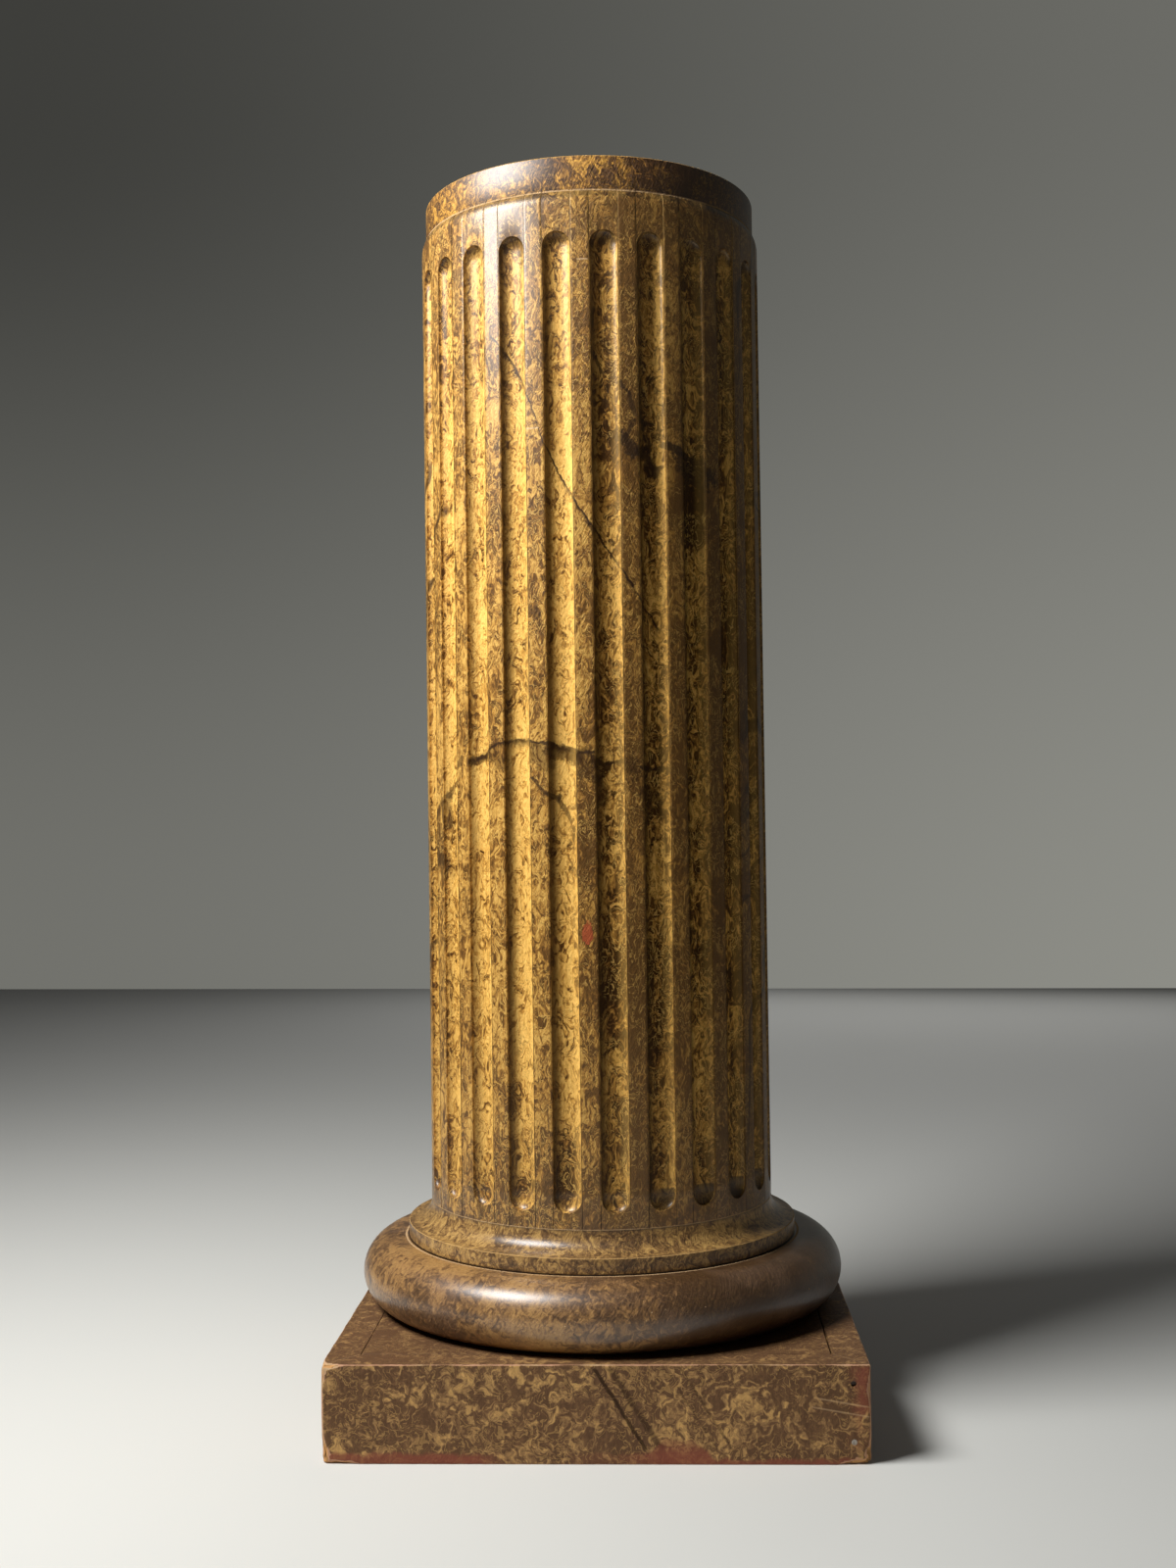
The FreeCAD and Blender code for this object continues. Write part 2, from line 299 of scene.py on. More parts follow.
    def bump(self, height: Value, distance: float) -> Value:
        """The surface's direction where a height roughens it."""
        made = self.node("ShaderNodeBump")
        self.feed(made.inputs["Distance"], distance)
        self.feed(made.inputs["Height"], height)
        return Value(self, made.outputs[0])

    def shader(self, kind: str, inputs: dict[str, object], output: str = "ShaderNodeOutputMaterial") -> None:
        """Adds a shader with its inputs by name, and makes it the tree's surface."""
        made = self.node(kind)
        for name, value in inputs.items():
            self.feed(made.inputs[name], value)
        self.tree.links.new(made.outputs[0], self.node(output).inputs["Surface"])


class Group(Graph):
    """A shader group in the making, with its inputs by name in ins."""

    def __init__(self, name: str, inputs: dict[str, float | None], outputs: tuple[str, ...]) -> None:
        """Makes the group and its sockets.

        Args:
            name: the group's name.
            inputs: each input's name and its default, or None for a vector.
            outputs: the names of the outputs, which are all values.
        """
        super().__init__(bpy.data.node_groups.new(name, "ShaderNodeTree"))
        for title, default in inputs.items():
            kind = "NodeSocketVector" if default is None else "NodeSocketFloat"
            made = self.tree.interface.new_socket(title, in_out="INPUT", socket_type=kind)
            if default is not None:
                made.default_value = default
        for title in outputs:
            self.tree.interface.new_socket(title, in_out="OUTPUT", socket_type="NodeSocketFloat")
        self.ins = self.values(self.node("NodeGroupInput"))
        self.out = self.node("NodeGroupOutput")

    def give(self, name: str, value: Value) -> None:
        """Feeds one of the group's outputs."""
        self.feed(self.out.inputs[name], value)


class PaintShop:
    """The effects that several finishes share, each a node group that is built once."""

    def __init__(self) -> None:
        """Builds the groups."""
        self.mottle = self.rag_mottle()
        self.vein = self.painted_vein()
        self.stroke = self.brush_stroke()
        self.wear = self.broken_wear()
        self.film = self.varnish_film()
        self.round = self.column_place()
        self.grain = self.wood_grain()

    @staticmethod
    def rag_mottle() -> bpy.types.NodeTree:
        """Brown glaze rolled over an ochre ground with a crumpled rag.

        Level runs from 0, where the ground is bare and bright, to 1, where the glaze is thickest. Curls are the
        thin light lines that the rag's creases leave, and Folds the dark ones beside them. Stretch draws every mark
        out along the height.
        """
        graph = Group(
            "rag mottle",
            {"Vector": None, "Marks": 130.0, "Dabs": 42.0, "Cover": 0.5, "Edge": 0.05, "Warp": 0.006, "Stretch": 0.6,
             "Tide": 0.4, "Fine": 0.4},
            ("Level", "Curls", "Folds"),
        )
        ins = graph.ins
        drawn = graph.vector("MULTIPLY", ins["Vector"], graph.joined(1.0, 1.0, ins["Stretch"]))
        drift = graph.grains(drawn, 70.0, 2.0, 0.5, output="Color")
        drift = graph.vector("SUBTRACT", drift, (NOISE_MIDDLE, NOISE_MIDDLE, NOISE_MIDDLE))
        bent = graph.vector("ADD", drawn, graph.vector("SCALE", drift, ins["Warp"] * 4.0))
        marks = graph.swing(bent, ins["Marks"], 4.0, 0.52, 1.5)
        dabs = graph.swing(bent, ins["Dabs"], 3.0, 0.55, 0.8)
        tide = graph.swing(ins["Vector"], 8.5, 2.0, 0.5)
        dense = dabs * 0.55 + ins["Cover"] + tide * ins["Tide"]
        thick = dense - 0.5
        over = marks + thick * 0.58
        short = graph.vector("MULTIPLY", bent, (1.0, 1.0, 0.8))
        flecks = graph.swing(short, ins["Marks"] * 2.3, 3.0, 0.62, 1.0) + thick * 0.4
        flecks = graph.math("ADD", flecks / 0.17, 0.5, clamp=True)
        level = dense * 0.26 + flecks * 0.7 * ins["Fine"]
        bold = 1.0 - ins["Fine"]
        for contour, share in ((-0.062, 0.24), (0.0, 0.22), (0.058, 0.34)):
            band = graph.math("ADD", (over - contour) / ins["Edge"], 0.5, clamp=True)
            level = level + band * share * bold
        grit = graph.swing(graph.vector("MULTIPLY", bent, (1.0, 1.0, 0.3)), 800.0, 2.0, 0.6)
        streaks = graph.swing(graph.vector("MULTIPLY", ins["Vector"], (1.0, 1.0, 0.045)), 330.0, 3.0, 0.65)
        graph.give("Level", graph.math("ADD", level, grit * 0.5 + streaks * 0.5, clamp=True))
        fold = graph.grains(bent, ins["Marks"] * 0.75, 2.0, 0.5, 2.2)
        where = graph.grains(ins["Vector"], 26.0, 2.0, 0.5).step(0.38, 0.48)
        for name, contour, width in (("Curls", 0.5, 0.034), ("Folds", 0.56, 0.026)):
            graph.give(name, abs(fold - contour).step(width, width * 0.35) * where)
        return graph.tree

    @staticmethod
    def painted_vein() -> bpy.types.NodeTree:
        """A brushed dark line where a distance is near nought, ragged on both sides and broken along its length."""
        sockets = {"Vector": None, "Distance": 0.0, "Width": 0.0016, "Shadow": 0.0, "Ragged": 0.012}
        graph = Group("painted vein", sockets, ("Line", "Wash"))
        ins = graph.ins
        off = ins["Distance"] + graph.swing(ins["Vector"], 90.0, 3.0, 0.65) * ins["Ragged"]
        gaps = graph.grains(ins["Vector"], 42.0, 2.0).step(0.36, 0.5).span(0.4, 1.0)
        graph.give("Line", (abs(off) / ins["Width"]).step(1.0, 0.35) * gaps)
        below = off / (ins["Shadow"] + NEVER_ZERO)
        fall = below.step(-1.0, -0.15) * below.step(0.05, -0.02)
        torn = graph.grains(ins["Vector"], 55.0, 3.0, 0.6, 1.2).step(0.42, 0.54)
        graph.give("Wash", fall * torn)
        return graph.tree

    @staticmethod
    def brush_stroke() -> bpy.types.NodeTree:
        """One short dark stroke or blot between two points of an unrolled surface, with a torn outline."""
        sockets = {"Vector": None, "Flat": None, "Start": None, "Run": None, "Squared": 1.0, "Width": 0.002}
        graph = Group("brush stroke", sockets, ("Stroke",))
        ins = graph.ins
        off = graph.vector("SUBTRACT", ins["Flat"], ins["Start"])
        along = graph.math("DIVIDE", graph.vector("DOT_PRODUCT", off, ins["Run"]), ins["Squared"], clamp=True)
        near = graph.vector("LENGTH", graph.vector("SUBTRACT", off, graph.vector("SCALE", ins["Run"], along)))
        torn = graph.swing(ins["Vector"], 210.0, 4.0, 0.7)
        broad = graph.swing(ins["Vector"], 60.0, 2.0, 0.5) * 2.0
        away = near / ins["Width"] + torn * 2.6 + broad
        graph.give("Stroke", away.step(1.05, 0.55))
        return graph.tree

    @staticmethod
    def broken_wear() -> bpy.types.NodeTree:
        """Wear that eats into a finish where a mask is strong, with a crumbled edge."""
        graph = Group("broken wear", {"Vector": None, "Mask": 0.0, "Bite": 0.5, "Grain": 180.0}, ("Worn",))
        ins = graph.ins
        crumbs = graph.swing(ins["Vector"], ins["Grain"], 4.0, 0.7) * 1.6
        level = ins["Mask"] + crumbs + (ins["Bite"] - 1.0)
        graph.give("Worn", level.step(0.0, 0.18) * ins["Mask"].step(0.02, 0.2))
        return graph.tree

    @staticmethod
    def varnish_film() -> bpy.types.NodeTree:
        """Hand-brushed varnish: how rough it is from place to place, and its fine ripple."""
        sockets = {"Vector": None, "Turn": 0.0, "Height": 0.0, "Glaze": 0.0, "Worn": 0.0}
        graph = Group("varnish film", sockets, ("Rough", "Ripple"))
        ins = graph.ins
        rough = graph.grains(ins["Vector"], 22.0, 3.0, 0.6).span(0.4, 0.6) + ins["Worn"] * 0.3
        graph.give("Rough", rough + ins["Glaze"] * -0.03)
        along = ins["Turn"] * METRES_PER_DEGREE
        flat = graph.joined(along - ins["Height"] * 0.55, (along + ins["Height"]) * 0.12)
        strokes = graph.grains(flat, 620.0, 3.0, 0.6, 0.4)
        dabs = graph.grains(ins["Vector"], 180.0, 2.0, 0.5, 1.2)
        ripple = strokes * 0.75 + dabs * 0.7 + ins["Glaze"] * 0.12
        graph.give("Ripple", ripple - ins["Worn"] * 0.5)
        return graph.tree

    @staticmethod
    def column_place() -> bpy.types.NodeTree:
        """Where a point lies round the column: its turn from the front in degrees, and its radius."""
        graph = Group("column place", {"Vector": None}, ("Turn", "Radius"))
        across, back, _ = graph.axes(graph.ins["Vector"])
        graph.give("Turn", graph.math("ARCTAN2", across, back * -1.0) * math.degrees(1.0))
        graph.give("Radius", graph.math("SQRT", across * across + back * back))
        return graph.tree

    @staticmethod
    def wood_grain() -> bpy.types.NodeTree:
        """Long softwood grain along the vector's own Z: dark late wood between pale early wood."""
        graph = Group("wood grain", {"Vector": None, "Scale": 260.0}, ("Late wood", "Fibre"))
        ins = graph.ins
        long = graph.vector("MULTIPLY", ins["Vector"], (1.0, 1.0, 0.04))
        rings = graph.grains(long, ins["Scale"] * 0.35, 2.0, 0.5, 0.4)
        graph.give("Late wood", graph.math("FRACT", rings * 9.0).step(0.35, 0.95))
        graph.give("Fibre", graph.grains(long, ins["Scale"] * 4.0, 2.0, 0.6))
        return graph.tree


@dataclass(frozen=True)
class Spot:
    """The point that a finish shades: its place in metres, its turn from the front in degrees and its radius."""

    graph: Graph
    shop: PaintShop
    place: Value
    across: Value
    back: Value
    height: Value
    turn: Value
    radius: Value

    @classmethod
    def of(cls, graph: Graph, shop: PaintShop) -> Spot:
        """Finds the point in a material's graph."""
        place = graph.place()
        around = graph.group(shop.round, vector=place)
        return cls(graph, shop, place, *graph.axes(place), around["Turn"], around["Radius"])

    def grains(self, scale: float, detail: float = 3.0, rough: float = 0.6, bend: float = 0.0) -> Value:
        """A noise at the point."""
        return self.graph.grains(self.place, scale, detail, rough, bend)

    def swing(self, scale: float, detail: float = 3.0, rough: float = 0.6, bend: float = 0.0) -> Value:
        """A noise at the point that swings to both sides of 0."""
        return self.graph.swing(self.place, scale, detail, rough, bend)

    def group(self, kind: bpy.types.NodeTree, **inputs: object) -> dict[str, Value]:
        """One of the shop's groups at the point."""
        return self.graph.group(kind, vector=self.place, **inputs)

    def worn(self, mask: Value, bite: float, grain: float) -> Value:
        """Where a mask's wear has bitten through the finish."""
        return self.group(self.shop.wear, mask=mask, bite=bite, grain=grain)["Worn"]


# ---------------------------------------------------------------- finishes


class Region(Enum):
    """The parts of the column that are painted a little differently."""

    CAP = "cap"
    SHAFT = "shaft"
    FOOT = "foot"
    TORUS = "torus"
    PLINTH = "plinth"


PINE: Colour = (0.50, 0.31, 0.15)
BARE_PINE: Colour = (0.62, 0.33, 0.13)
LATE_PINE: Colour = (0.30, 0.155, 0.06)
RED_PRIMER: Colour = (0.26, 0.075, 0.045)
RED_PRIMER_BRIGHT: Colour = (0.42, 0.085, 0.03)
PALE_EDGE: Colour = (0.62, 0.42, 0.23)
ROSY_EDGE: Colour = (0.60, 0.33, 0.20)
ROSY_BLOOM: Colour = (0.33, 0.20, 0.13)
# dark brown for veins, joint lines and cracks, and for painted shade on the foot and the torus
VEIN_JOINT_AND_SHADE_BROWN: Colour = (0.03, 0.013, 0.005)
# painted shade in the flutes
PAINTED_FLUTE_SHADE: Colour = (0.03, 0.012, 0.003)
# the fillets' browner wash, heavier as painted shade on the shaft's right
FILLET_WASH_AND_SHADE: Colour = (0.22, 0.105, 0.024)
# painted sheen
PAINTED_SHEEN_GREY: Colour = (0.34, 0.26, 0.16)


@dataclass(frozen=True)
class DarkPatch:
    """A place where the glaze was laid on more heavily, and more thinly where more is below nought: where it is, how
    far it spreads, and by how much. Some darken a region's right side as painted shade, and one lightens the torus's
    left as painted light.
    """

    turn: float
    height: float
    turn_spread: float
    height_spread: float
    more: float


@dataclass(frozen=True)
class Stroke:
    """A short stroke of dark glaze: its ends in degrees round the column and metres up it, its width and strength."""

    turn: float
    height: float
    end_turn: float
    end_height: float
    width: float
    strength: float


SHAFT_STROKES: tuple[Stroke, ...] = (
    # beside the level vein, from the left to the right
    Stroke(-46.5, 0.575, -57.0, 0.543, 0.0022, 0.6),
    Stroke(-57.0, 0.543, -70.0, 0.511, 0.0032, 0.55),
    Stroke(-42.0, 0.573, -37.0, 0.577, 0.0034, 0.5),
    Stroke(-33.0, 0.579, -29.5, 0.57, 0.006, 0.5),
    Stroke(-17.5, 0.58, -14.2, 0.566, 0.007, 0.55),
    Stroke(-18.3, 0.556, -13.8, 0.542, 0.0015, 0.75),
    Stroke(-13.8, 0.542, -10.3, 0.538, 0.0032, 0.75),
    Stroke(-10.3, 0.538, -5.8, 0.518, 0.0014, 0.65),
    Stroke(-12.0, 0.579, -4.5, 0.573, 0.006, 0.75),
    Stroke(-3.5, 0.572, 1.0, 0.562, 0.01, 0.6),
    Stroke(2.4, 0.569, 5.2, 0.565, 0.006, 0.95),
    Stroke(5.5, 0.567, 10.4, 0.569, 0.0013, 0.75),
    Stroke(2.6, 0.553, 4.2, 0.535, 0.005, 0.6),
    Stroke(11.8, 0.566, 14.8, 0.558, 0.007, 0.65),
    Stroke(16.8, 0.563, 20.3, 0.562, 0.003, 0.9),
    Stroke(21.6, 0.562, 24.6, 0.5625, 0.002, 0.85),
    Stroke(17.8, 0.543, 21.6, 0.537, 0.006, 0.7),
    Stroke(19.0, 0.53, 23.4, 0.525, 0.004, 0.7),
    # below and above the slanting vein, on the right
    Stroke(3.6, 0.916, 5.6, 0.903, 0.0014, 0.75),
    Stroke(11.0, 0.893, 14.0, 0.884, 0.0018, 0.8),
    Stroke(14.0, 0.884, 15.6, 0.866, 0.002, 0.7),
    Stroke(15.0, 0.86, 12.6, 0.845, 0.0025, 0.7),
    Stroke(11.5, 0.846, 15.2, 0.834, 0.0058, 0.85),
    Stroke(18.1, 0.869, 19.2, 0.855, 0.0016, 0.75),
    Stroke(18.8, 0.861, 22.0, 0.859, 0.0018, 0.85),
    Stroke(20.0, 0.848, 21.0, 0.838, 0.003, 0.75),
    Stroke(18.8, 0.833, 22.8, 0.82, 0.0065, 0.88),
    Stroke(26.0, 0.841, 32.8, 0.835, 0.003, 0.85),
    Stroke(32.8, 0.835, 40.5, 0.829, 0.003, 0.85),
    Stroke(33.0, 0.826, 41.0, 0.815, 0.01, 0.8),
    Stroke(-16.5, 0.7, -15.6, 0.695, 0.0035, 0.6),
)
SLANT_VEIN: tuple[Point, ...] = (
    (-31.5, 0.943), (-17.7, 0.879), (-12.1, 0.836), (-3.6, 0.792), (6.3, 0.753), (15.6, 0.713), (24.0, 0.682),
)
LEVEL_VEIN: tuple[Point, ...] = (
    (-43.0, 0.573), (-38.0, 0.577), (-33.5, 0.582), (-28.5, 0.587), (-19.1, 0.588), (-13.6, 0.5855), (-4.6, 0.579),
    (2.2, 0.576),
)


def new_material(name: str) -> tuple[bpy.types.Material, Graph]:
    """An empty node material and its graph."""
    made = bpy.data.materials.new(name)
    made.use_nodes = True
    return made, Graph(made.node_tree)


@dataclass(frozen=True)
class MarbledPaint:
    """Faux marble: an ochre ground, brown glaze ragged over it, dark veins, and a satin varnish."""

    region: Region
    glow: Colour = (0.92, 0.56, 0.145)
    ochre: Colour = (0.62, 0.325, 0.062)
    tan: Colour = (0.33, 0.155, 0.03)
    brown: Colour = (0.15, 0.064, 0.0115)
    umber: Colour = (0.045, 0.018, 0.003)
    patches: tuple[DarkPatch, ...] = ()
    marks: float = 138.0
    dabs: float = 46.0
    cover: float = 0.395
    edge: float = 0.022
    warp: float = 0.006
    stretch: float = 0.6
    tide: float = 0.5
    fine: float = 0.12
    curl: float = 0.6
    ior: float = 1.16
    coat: float = 0.9
    coat_roughness: float = 0.33
    coat_ior: float = 1.5
    relief: float = 0.0011
    wear_bite: float = 0.7

    def material(self, shop: PaintShop) -> bpy.types.Material:
        """Builds the material.

        Args:
            shop: the shared node groups.

        Returns:
            A node material named after the region.
        """
        made, graph = new_material(f"marbled_{self.region.value}")
        at = Spot.of(graph, shop)
        ground, glaze = self.ground(at)
        colour, worn = self.wear(at, self.dirt_and_painted_shading(at, self.veins(at, ground)))
        turn, height = self.brushed(at)
        film = at.group(shop.film, turn=turn, height=height, glaze=glaze, worn=worn)
        graph.shader("ShaderNodeBsdfPrincipled", {
            "Base Color": colour,
            "Roughness": film["Rough"],
            "IOR": self.ior,
            "Coat Weight": (1.0 - worn) * self.varnish(at),
            "Coat Roughness": self.coat_roughness,
            "Coat IOR": self.coat_ior,
            "Normal": graph.bump(film["Ripple"], self.relief),
        })
        return made

    def brushed(self, at: Spot) -> tuple[Value, Value]:
        """The two ways over the surface that the varnish brush slants between: in degrees round it, and up it."""
        return at.turn, at.height

    def glaze_cover(self, at: Spot) -> Scalar:
        """How much of the ground the glaze covers, the same all over unless a region says otherwise."""
        return self.cover

    def varnish(self, at: Spot) -> Scalar:
        """How thick the varnish is, the same all over unless a region says otherwise."""
        return self.coat

    def ground(self, at: Spot) -> tuple[Value, Value]:
        """The ochre ground with its brown glaze.

        Returns:
            The colour, and the mask of the glaze.
        """
        cover = self.glaze_cover(at)
        # patches change the glaze; on the cap, the shaft and the torus some are painted shade and painted light
        for patch in self.patches:
            across = (at.turn - patch.turn) / patch.turn_spread
            along = (at.height - patch.height) / patch.height_spread
            cover = cover + (across * across + along * along).step(1.0, 0.1, patch.more)
        same = ("marks", "dabs", "edge", "warp", "stretch", "tide", "fine")
        rag = at.group(at.shop.mottle, cover=cover, **{name: getattr(self, name) for name in same})
        shades = (self.glow, self.ochre, self.tan, self.brown, self.umber)
        stops = [(index / (len(shades) - 1), shade) for index, shade in enumerate(shades)]
        colour = at.graph.ramp(rag["Level"], stops)
        colour = (rag["Folds"] * (self.curl * FOLD_SHARE)).mix(colour, self.umber)
        return (rag["Curls"] * self.curl).mix(colour, self.glow), rag["Level"]

    def veins(self, at: Spot, colour: Value) -> Value:
        """Adds the veins. The shaft and the plinth have their own; elsewhere there are none."""
        return colour

    def dirt_and_painted_shading(self, at: Spot, colour: Value) -> Value:
        """Adds dirt under the varnish, and painted shade and painted light where a region has them. Each region has its
        own; the cap has none.
        """
        return colour

    def wear(self, at: Spot, colour: Value) -> tuple[Value, Value]:
        """Wears the arrises back to the pale ground.

        Returns:
            The colour, and the mask of the wear.
        """
        arris = at.worn(at.graph.mark("arris"), self.wear_bite, 160.0)
        pale = at.grains(300.0).mix(self.glow, PINE)
        return (arris * 0.75).mix(colour, pale), arris


@dataclass(frozen=True)
class ShaftPaint(MarbledPaint):
    """The shaft's marbling, with its veins, its joint lines and its scratches."""

    pitch: float = 15.0
    first_turn: float = 6.5
    half_angle: float = 4.588
    radius: float = 0.1575
    flute_middle: float = 0.6055
    flute_reach: float = 0.419
    top: float = 1.06
    bottom: float = 0.1725

    @property
    def flute_foot(self) -> float:
        """The height at which the flutes start."""
        return self.flute_middle - self.flute_reach

    @property
    def flute_head(self) -> float:
        """The height at which the flutes end."""
        return self.flute_middle + self.flute_reach

    def proud(self, at: Spot, low: float, high: float, top: float = 1.0) -> Value:
        """A step between two depths below the shaft's surface, in metres."""
        return at.radius.step(self.radius - low, self.radius - high, top)

    def ground(self, at: Spot) -> tuple[Value, Value]:
        """The mottle, with a browner wash over the fillets, heavier on the shaft's right half as painted shade."""
        colour, level = super().ground(at)
        # painted shade: the fillets' wash is heavier on the right of the shaft than on its left
        wash_and_shade = at.turn.step(-12.0, 12.0).span(0.28, 0.5)
        return (self.proud(at, 0.0014, 0.0004) * wash_and_shade).mix(colour, FILLET_WASH_AND_SHADE), level

    def glaze_cover(self, at: Spot) -> Value:
        """More glaze on the fillets than in the flutes, and more at the head and the foot of the shaft."""
        head = at.height.step(0.86, 1.04, 0.12)
        foot = at.height.step(0.26, 0.175, 0.16)
        return self.proud(at, 0.0028, 0.0006, 0.12) + head.larger(foot) + (self.cover - 0.03)

    def varnish(self, at: Spot) -> Value:
        """Less varnish down in the flutes than on the fillets and at the head, and a pool in each flute's foot."""
        head = at.height.step(0.7, 1.03, 0.45)
        pooled = at.height.step(self.flute_foot + 0.02, self.flute_foot + 0.012, 0.95)
        return (self.proud(at, 0.006, 0.0015).span(0.12, 0.55) + head).larger(pooled) * self.coat

    def veins(self, at: Spot, colour: Value) -> Value:
        """The long slanting vein, the level one with a brown wash under it, and finer ones round the back."""
        for path, width, shadow in ((SLANT_VEIN, 0.0021, 0.007), (LEVEL_VEIN, 0.0022, 0.008)):
            colour = self.long_vein(at, path, width, shadow, colour)
        flat = at.graph.joined(at.turn * math.radians(self.radius), at.height)
        for stroke in SHAFT_STROKES:
            colour = self.stroke(at, flat, stroke, colour)
        return self.back_veins(at, colour)

    def long_vein(self, at: Spot, path: tuple[Point, ...], width: float, shadow: float, colour: Value) -> Value:
        """Lays a vein along a path.

        Args:
            at: the point being shaded.
            path: points in degrees round the shaft and metres up it, from the left to the right.
            width: half the line's width.
            shadow: how far the wash reaches below the line.
            colour: what the vein is laid over.
        """
        margin = 0.02
        first, last = path[0][0], path[-1][0]
        low = min(z for _, z in path) - margin
        high = max(z for _, z in path) + margin
        scaled = [((angle - first) / (last - first), (z - low) / (high - low)) for angle, z in path]
        along = (at.turn - first) / (last - first)
        line = at.graph.curve(along, scaled) * (high - low) + low
        inside = along.step(-margin, margin) * along.step(1 + margin, 1 - margin)
        vein = at.group(at.shop.vein, distance=at.height - line, width=width, shadow=shadow)
        colour = (vein["Wash"] * inside * 0.85).mix(colour, self.umber)
        return (vein["Line"] * inside * 0.92).mix(colour, VEIN_JOINT_AND_SHADE_BROWN)

    def stroke(self, at: Spot, flat: Value, stroke: Stroke, colour: Value) -> Value:
        """Lays one stroke over the colour, in umber where it is a broad one beside the level vein."""
        scale = math.radians(self.radius)
        start = (stroke.turn * scale, stroke.height, 0.0)
        run = ((stroke.end_turn - stroke.turn) * scale, stroke.end_height - stroke.height, 0.0)
        squared = run[0] ** 2 + run[1] ** 2
        width = stroke.width * 1.15 + 0.0003
        made = at.group(at.shop.stroke, flat=flat, start=start, run=run, squared=squared, width=width)
        glaze = self.umber if stroke.width > 0.0035 and stroke.height < 0.65 else VEIN_JOINT_AND_SHADE_BROWN
        return (made["Stroke"] * stroke.strength).mix(colour, glaze)

    def back_veins(self, at: Spot, colour: Value) -> Value:
        """Sparse ridges of a slow noise, on the sides and the back only."""
        thin = abs(at.swing(3.1, 3.0, 0.55, 0.7)).step(0.009, 0.003)
        away = abs(at.turn).step(50.0, 62.0)
        elsewhere = at.graph.vector("ADD", at.place, (3.0, 1.0, 2.0))
        patchy = at.graph.grains(elsewhere, 7.0, 2.0).step(0.42, 0.55)
        return (thin * away * (patchy * 0.8)).mix(colour, VEIN_JOINT_AND_SHADE_BROWN)

    def dirt_and_painted_shading(self, at: Spot, colour: Value) -> Value:
        """Joint lines down both edges of every flute; painted shade down each flute's left side, under its head and,
        right of the front, at its foot; a painted lighter strip down each flute's right side; and a painted grey sheen
        towards the head and the foot.
        """
        side = (at.turn + (360.0 - self.first_turn + self.pitch / 2)) % self.pitch - self.pitch / 2
        gap = abs(abs(side) - self.half_angle) * math.radians(self.radius)
        broken = at.grains(14.0, 4.0, 0.7).step(0.38, 0.56).span(0.35, 1.0)
        plain = abs(at.height - self.flute_middle).step(self.flute_reach - 0.006, self.flute_reach).span(0.15, 0.75)
        joints = gap.step(0.0006, 0.0002) * (plain * broken)
        inside = self.proud(at, 0.0004, 0.0014)
        # painted shade down each flute's left wall, fainter on the shaft's left
        left_wall_shade = side.step(0.4, -4.3) ** 1.7 * at.turn.step(-56.0, -24.0).span(0.3, 1.0)
        # painted shadow under each flute's round head
        head_shadow = at.height.step(self.flute_head - 0.017, self.flute_head - 0.003, 0.75)
        # painted shadow in the foot of each flute right of the front
        foot_shadow = at.height.step(self.flute_foot + 0.0185, self.flute_foot + 0.0165) * at.turn.step(15.0, 24.0, 0.9)
        foot_shadow = foot_shadow * self.proud(at, 0.0014, 0.0026)
        # painted light: a lighter strip down each flute's right side
        colour = (side.step(0.8, 3.6, 0.2) * inside).mix(colour, self.glow)
        colour = ((left_wall_shade.larger(head_shadow) * inside).larger(foot_shadow) * 0.82).mix(colour, PAINTED_FLUTE_SHADE)
        # painted sheen: a grey veil towards the head and the foot
        painted_sheen = at.height.step(0.72, 1.04, 0.04).larger(at.height.step(0.4, 0.2, 0.07))
        return joints.mix(painted_sheen.mix(colour, PAINTED_SHEEN_GREY), VEIN_JOINT_AND_SHADE_BROWN)

    def wear(self, at: Spot, colour: Value) -> tuple[Value, Value]:
        """The worn flute arrises and seams, a bare patch of primer, and two short scratches."""
        colour, worn = super().wear(at, colour)
        seams = at.height.near(self.top, 0.0009).larger(at.height.near(self.bottom, 0.0012))
        bitten = at.worn(seams, SEAM_BITE, SEAM_GRAIN)
        colour = (bitten * 0.7).mix(colour, PALE_EDGE)
        across, along = (at.turn + 1.2) / 1.9, (at.height - 0.423) / 0.0105
        away = across * across + along * along + at.swing(300.0, 3.0, 0.6) * 2.2
        colour = away.step(1.0, 0.6, 0.85).mix(colour, RED_PRIMER_BRIGHT)
        for middle, reach, level in ((-0.2, 1.9, 0.999), (-17.0, 2.5, 0.856)):
            scratch = at.height.near(level, SCRATCH_HALF) * abs(at.turn - middle).step(reach, reach - 0.5)
            colour = (scratch * 0.7).mix(colour, PALE_EDGE)
        return colour, worn.larger(bitten)


@dataclass(frozen=True)
class CapPaint(MarbledPaint):
    """The top disc: softer golden patches, and a worn line along the seam with the staves."""

    seam: float = 1.06

    def wear(self, at: Spot, colour: Value) -> tuple[Value, Value]:
        """Wears the top rim and the seam."""
        colour, worn = super().wear(at, colour)
        bitten = at.worn(at.height.near(self.seam + 0.0003, 0.0009), SEAM_BITE, SEAM_GRAIN)
        return (bitten * 0.6).mix(colour, PALE_EDGE), worn.larger(bitten)


@dataclass(frozen=True)
class FootPaint(MarbledPaint):
    """The cavetto and its fillet, rubbed along the fillet's upper arris."""

    stave_foot: float = 0.1725
    seat: float = 0.14

    def dirt_and_painted_shading(self, at: Spot, colour: Value) -> Value:
        """Painted shade in the gap where the fillet meets the torus, and the hollow darker in its upper corner."""
        # painted shade: dark at the fillet's foot, in the gap above the torus
        low = at.height.step(self.seat + 0.0022, self.seat + 0.0004, 0.85)
        corner = at.height.step(self.stave_foot - 0.003, self.stave_foot, 0.45)
        return low.larger(corner).mix(colour, VEIN_JOINT_AND_SHADE_BROWN)


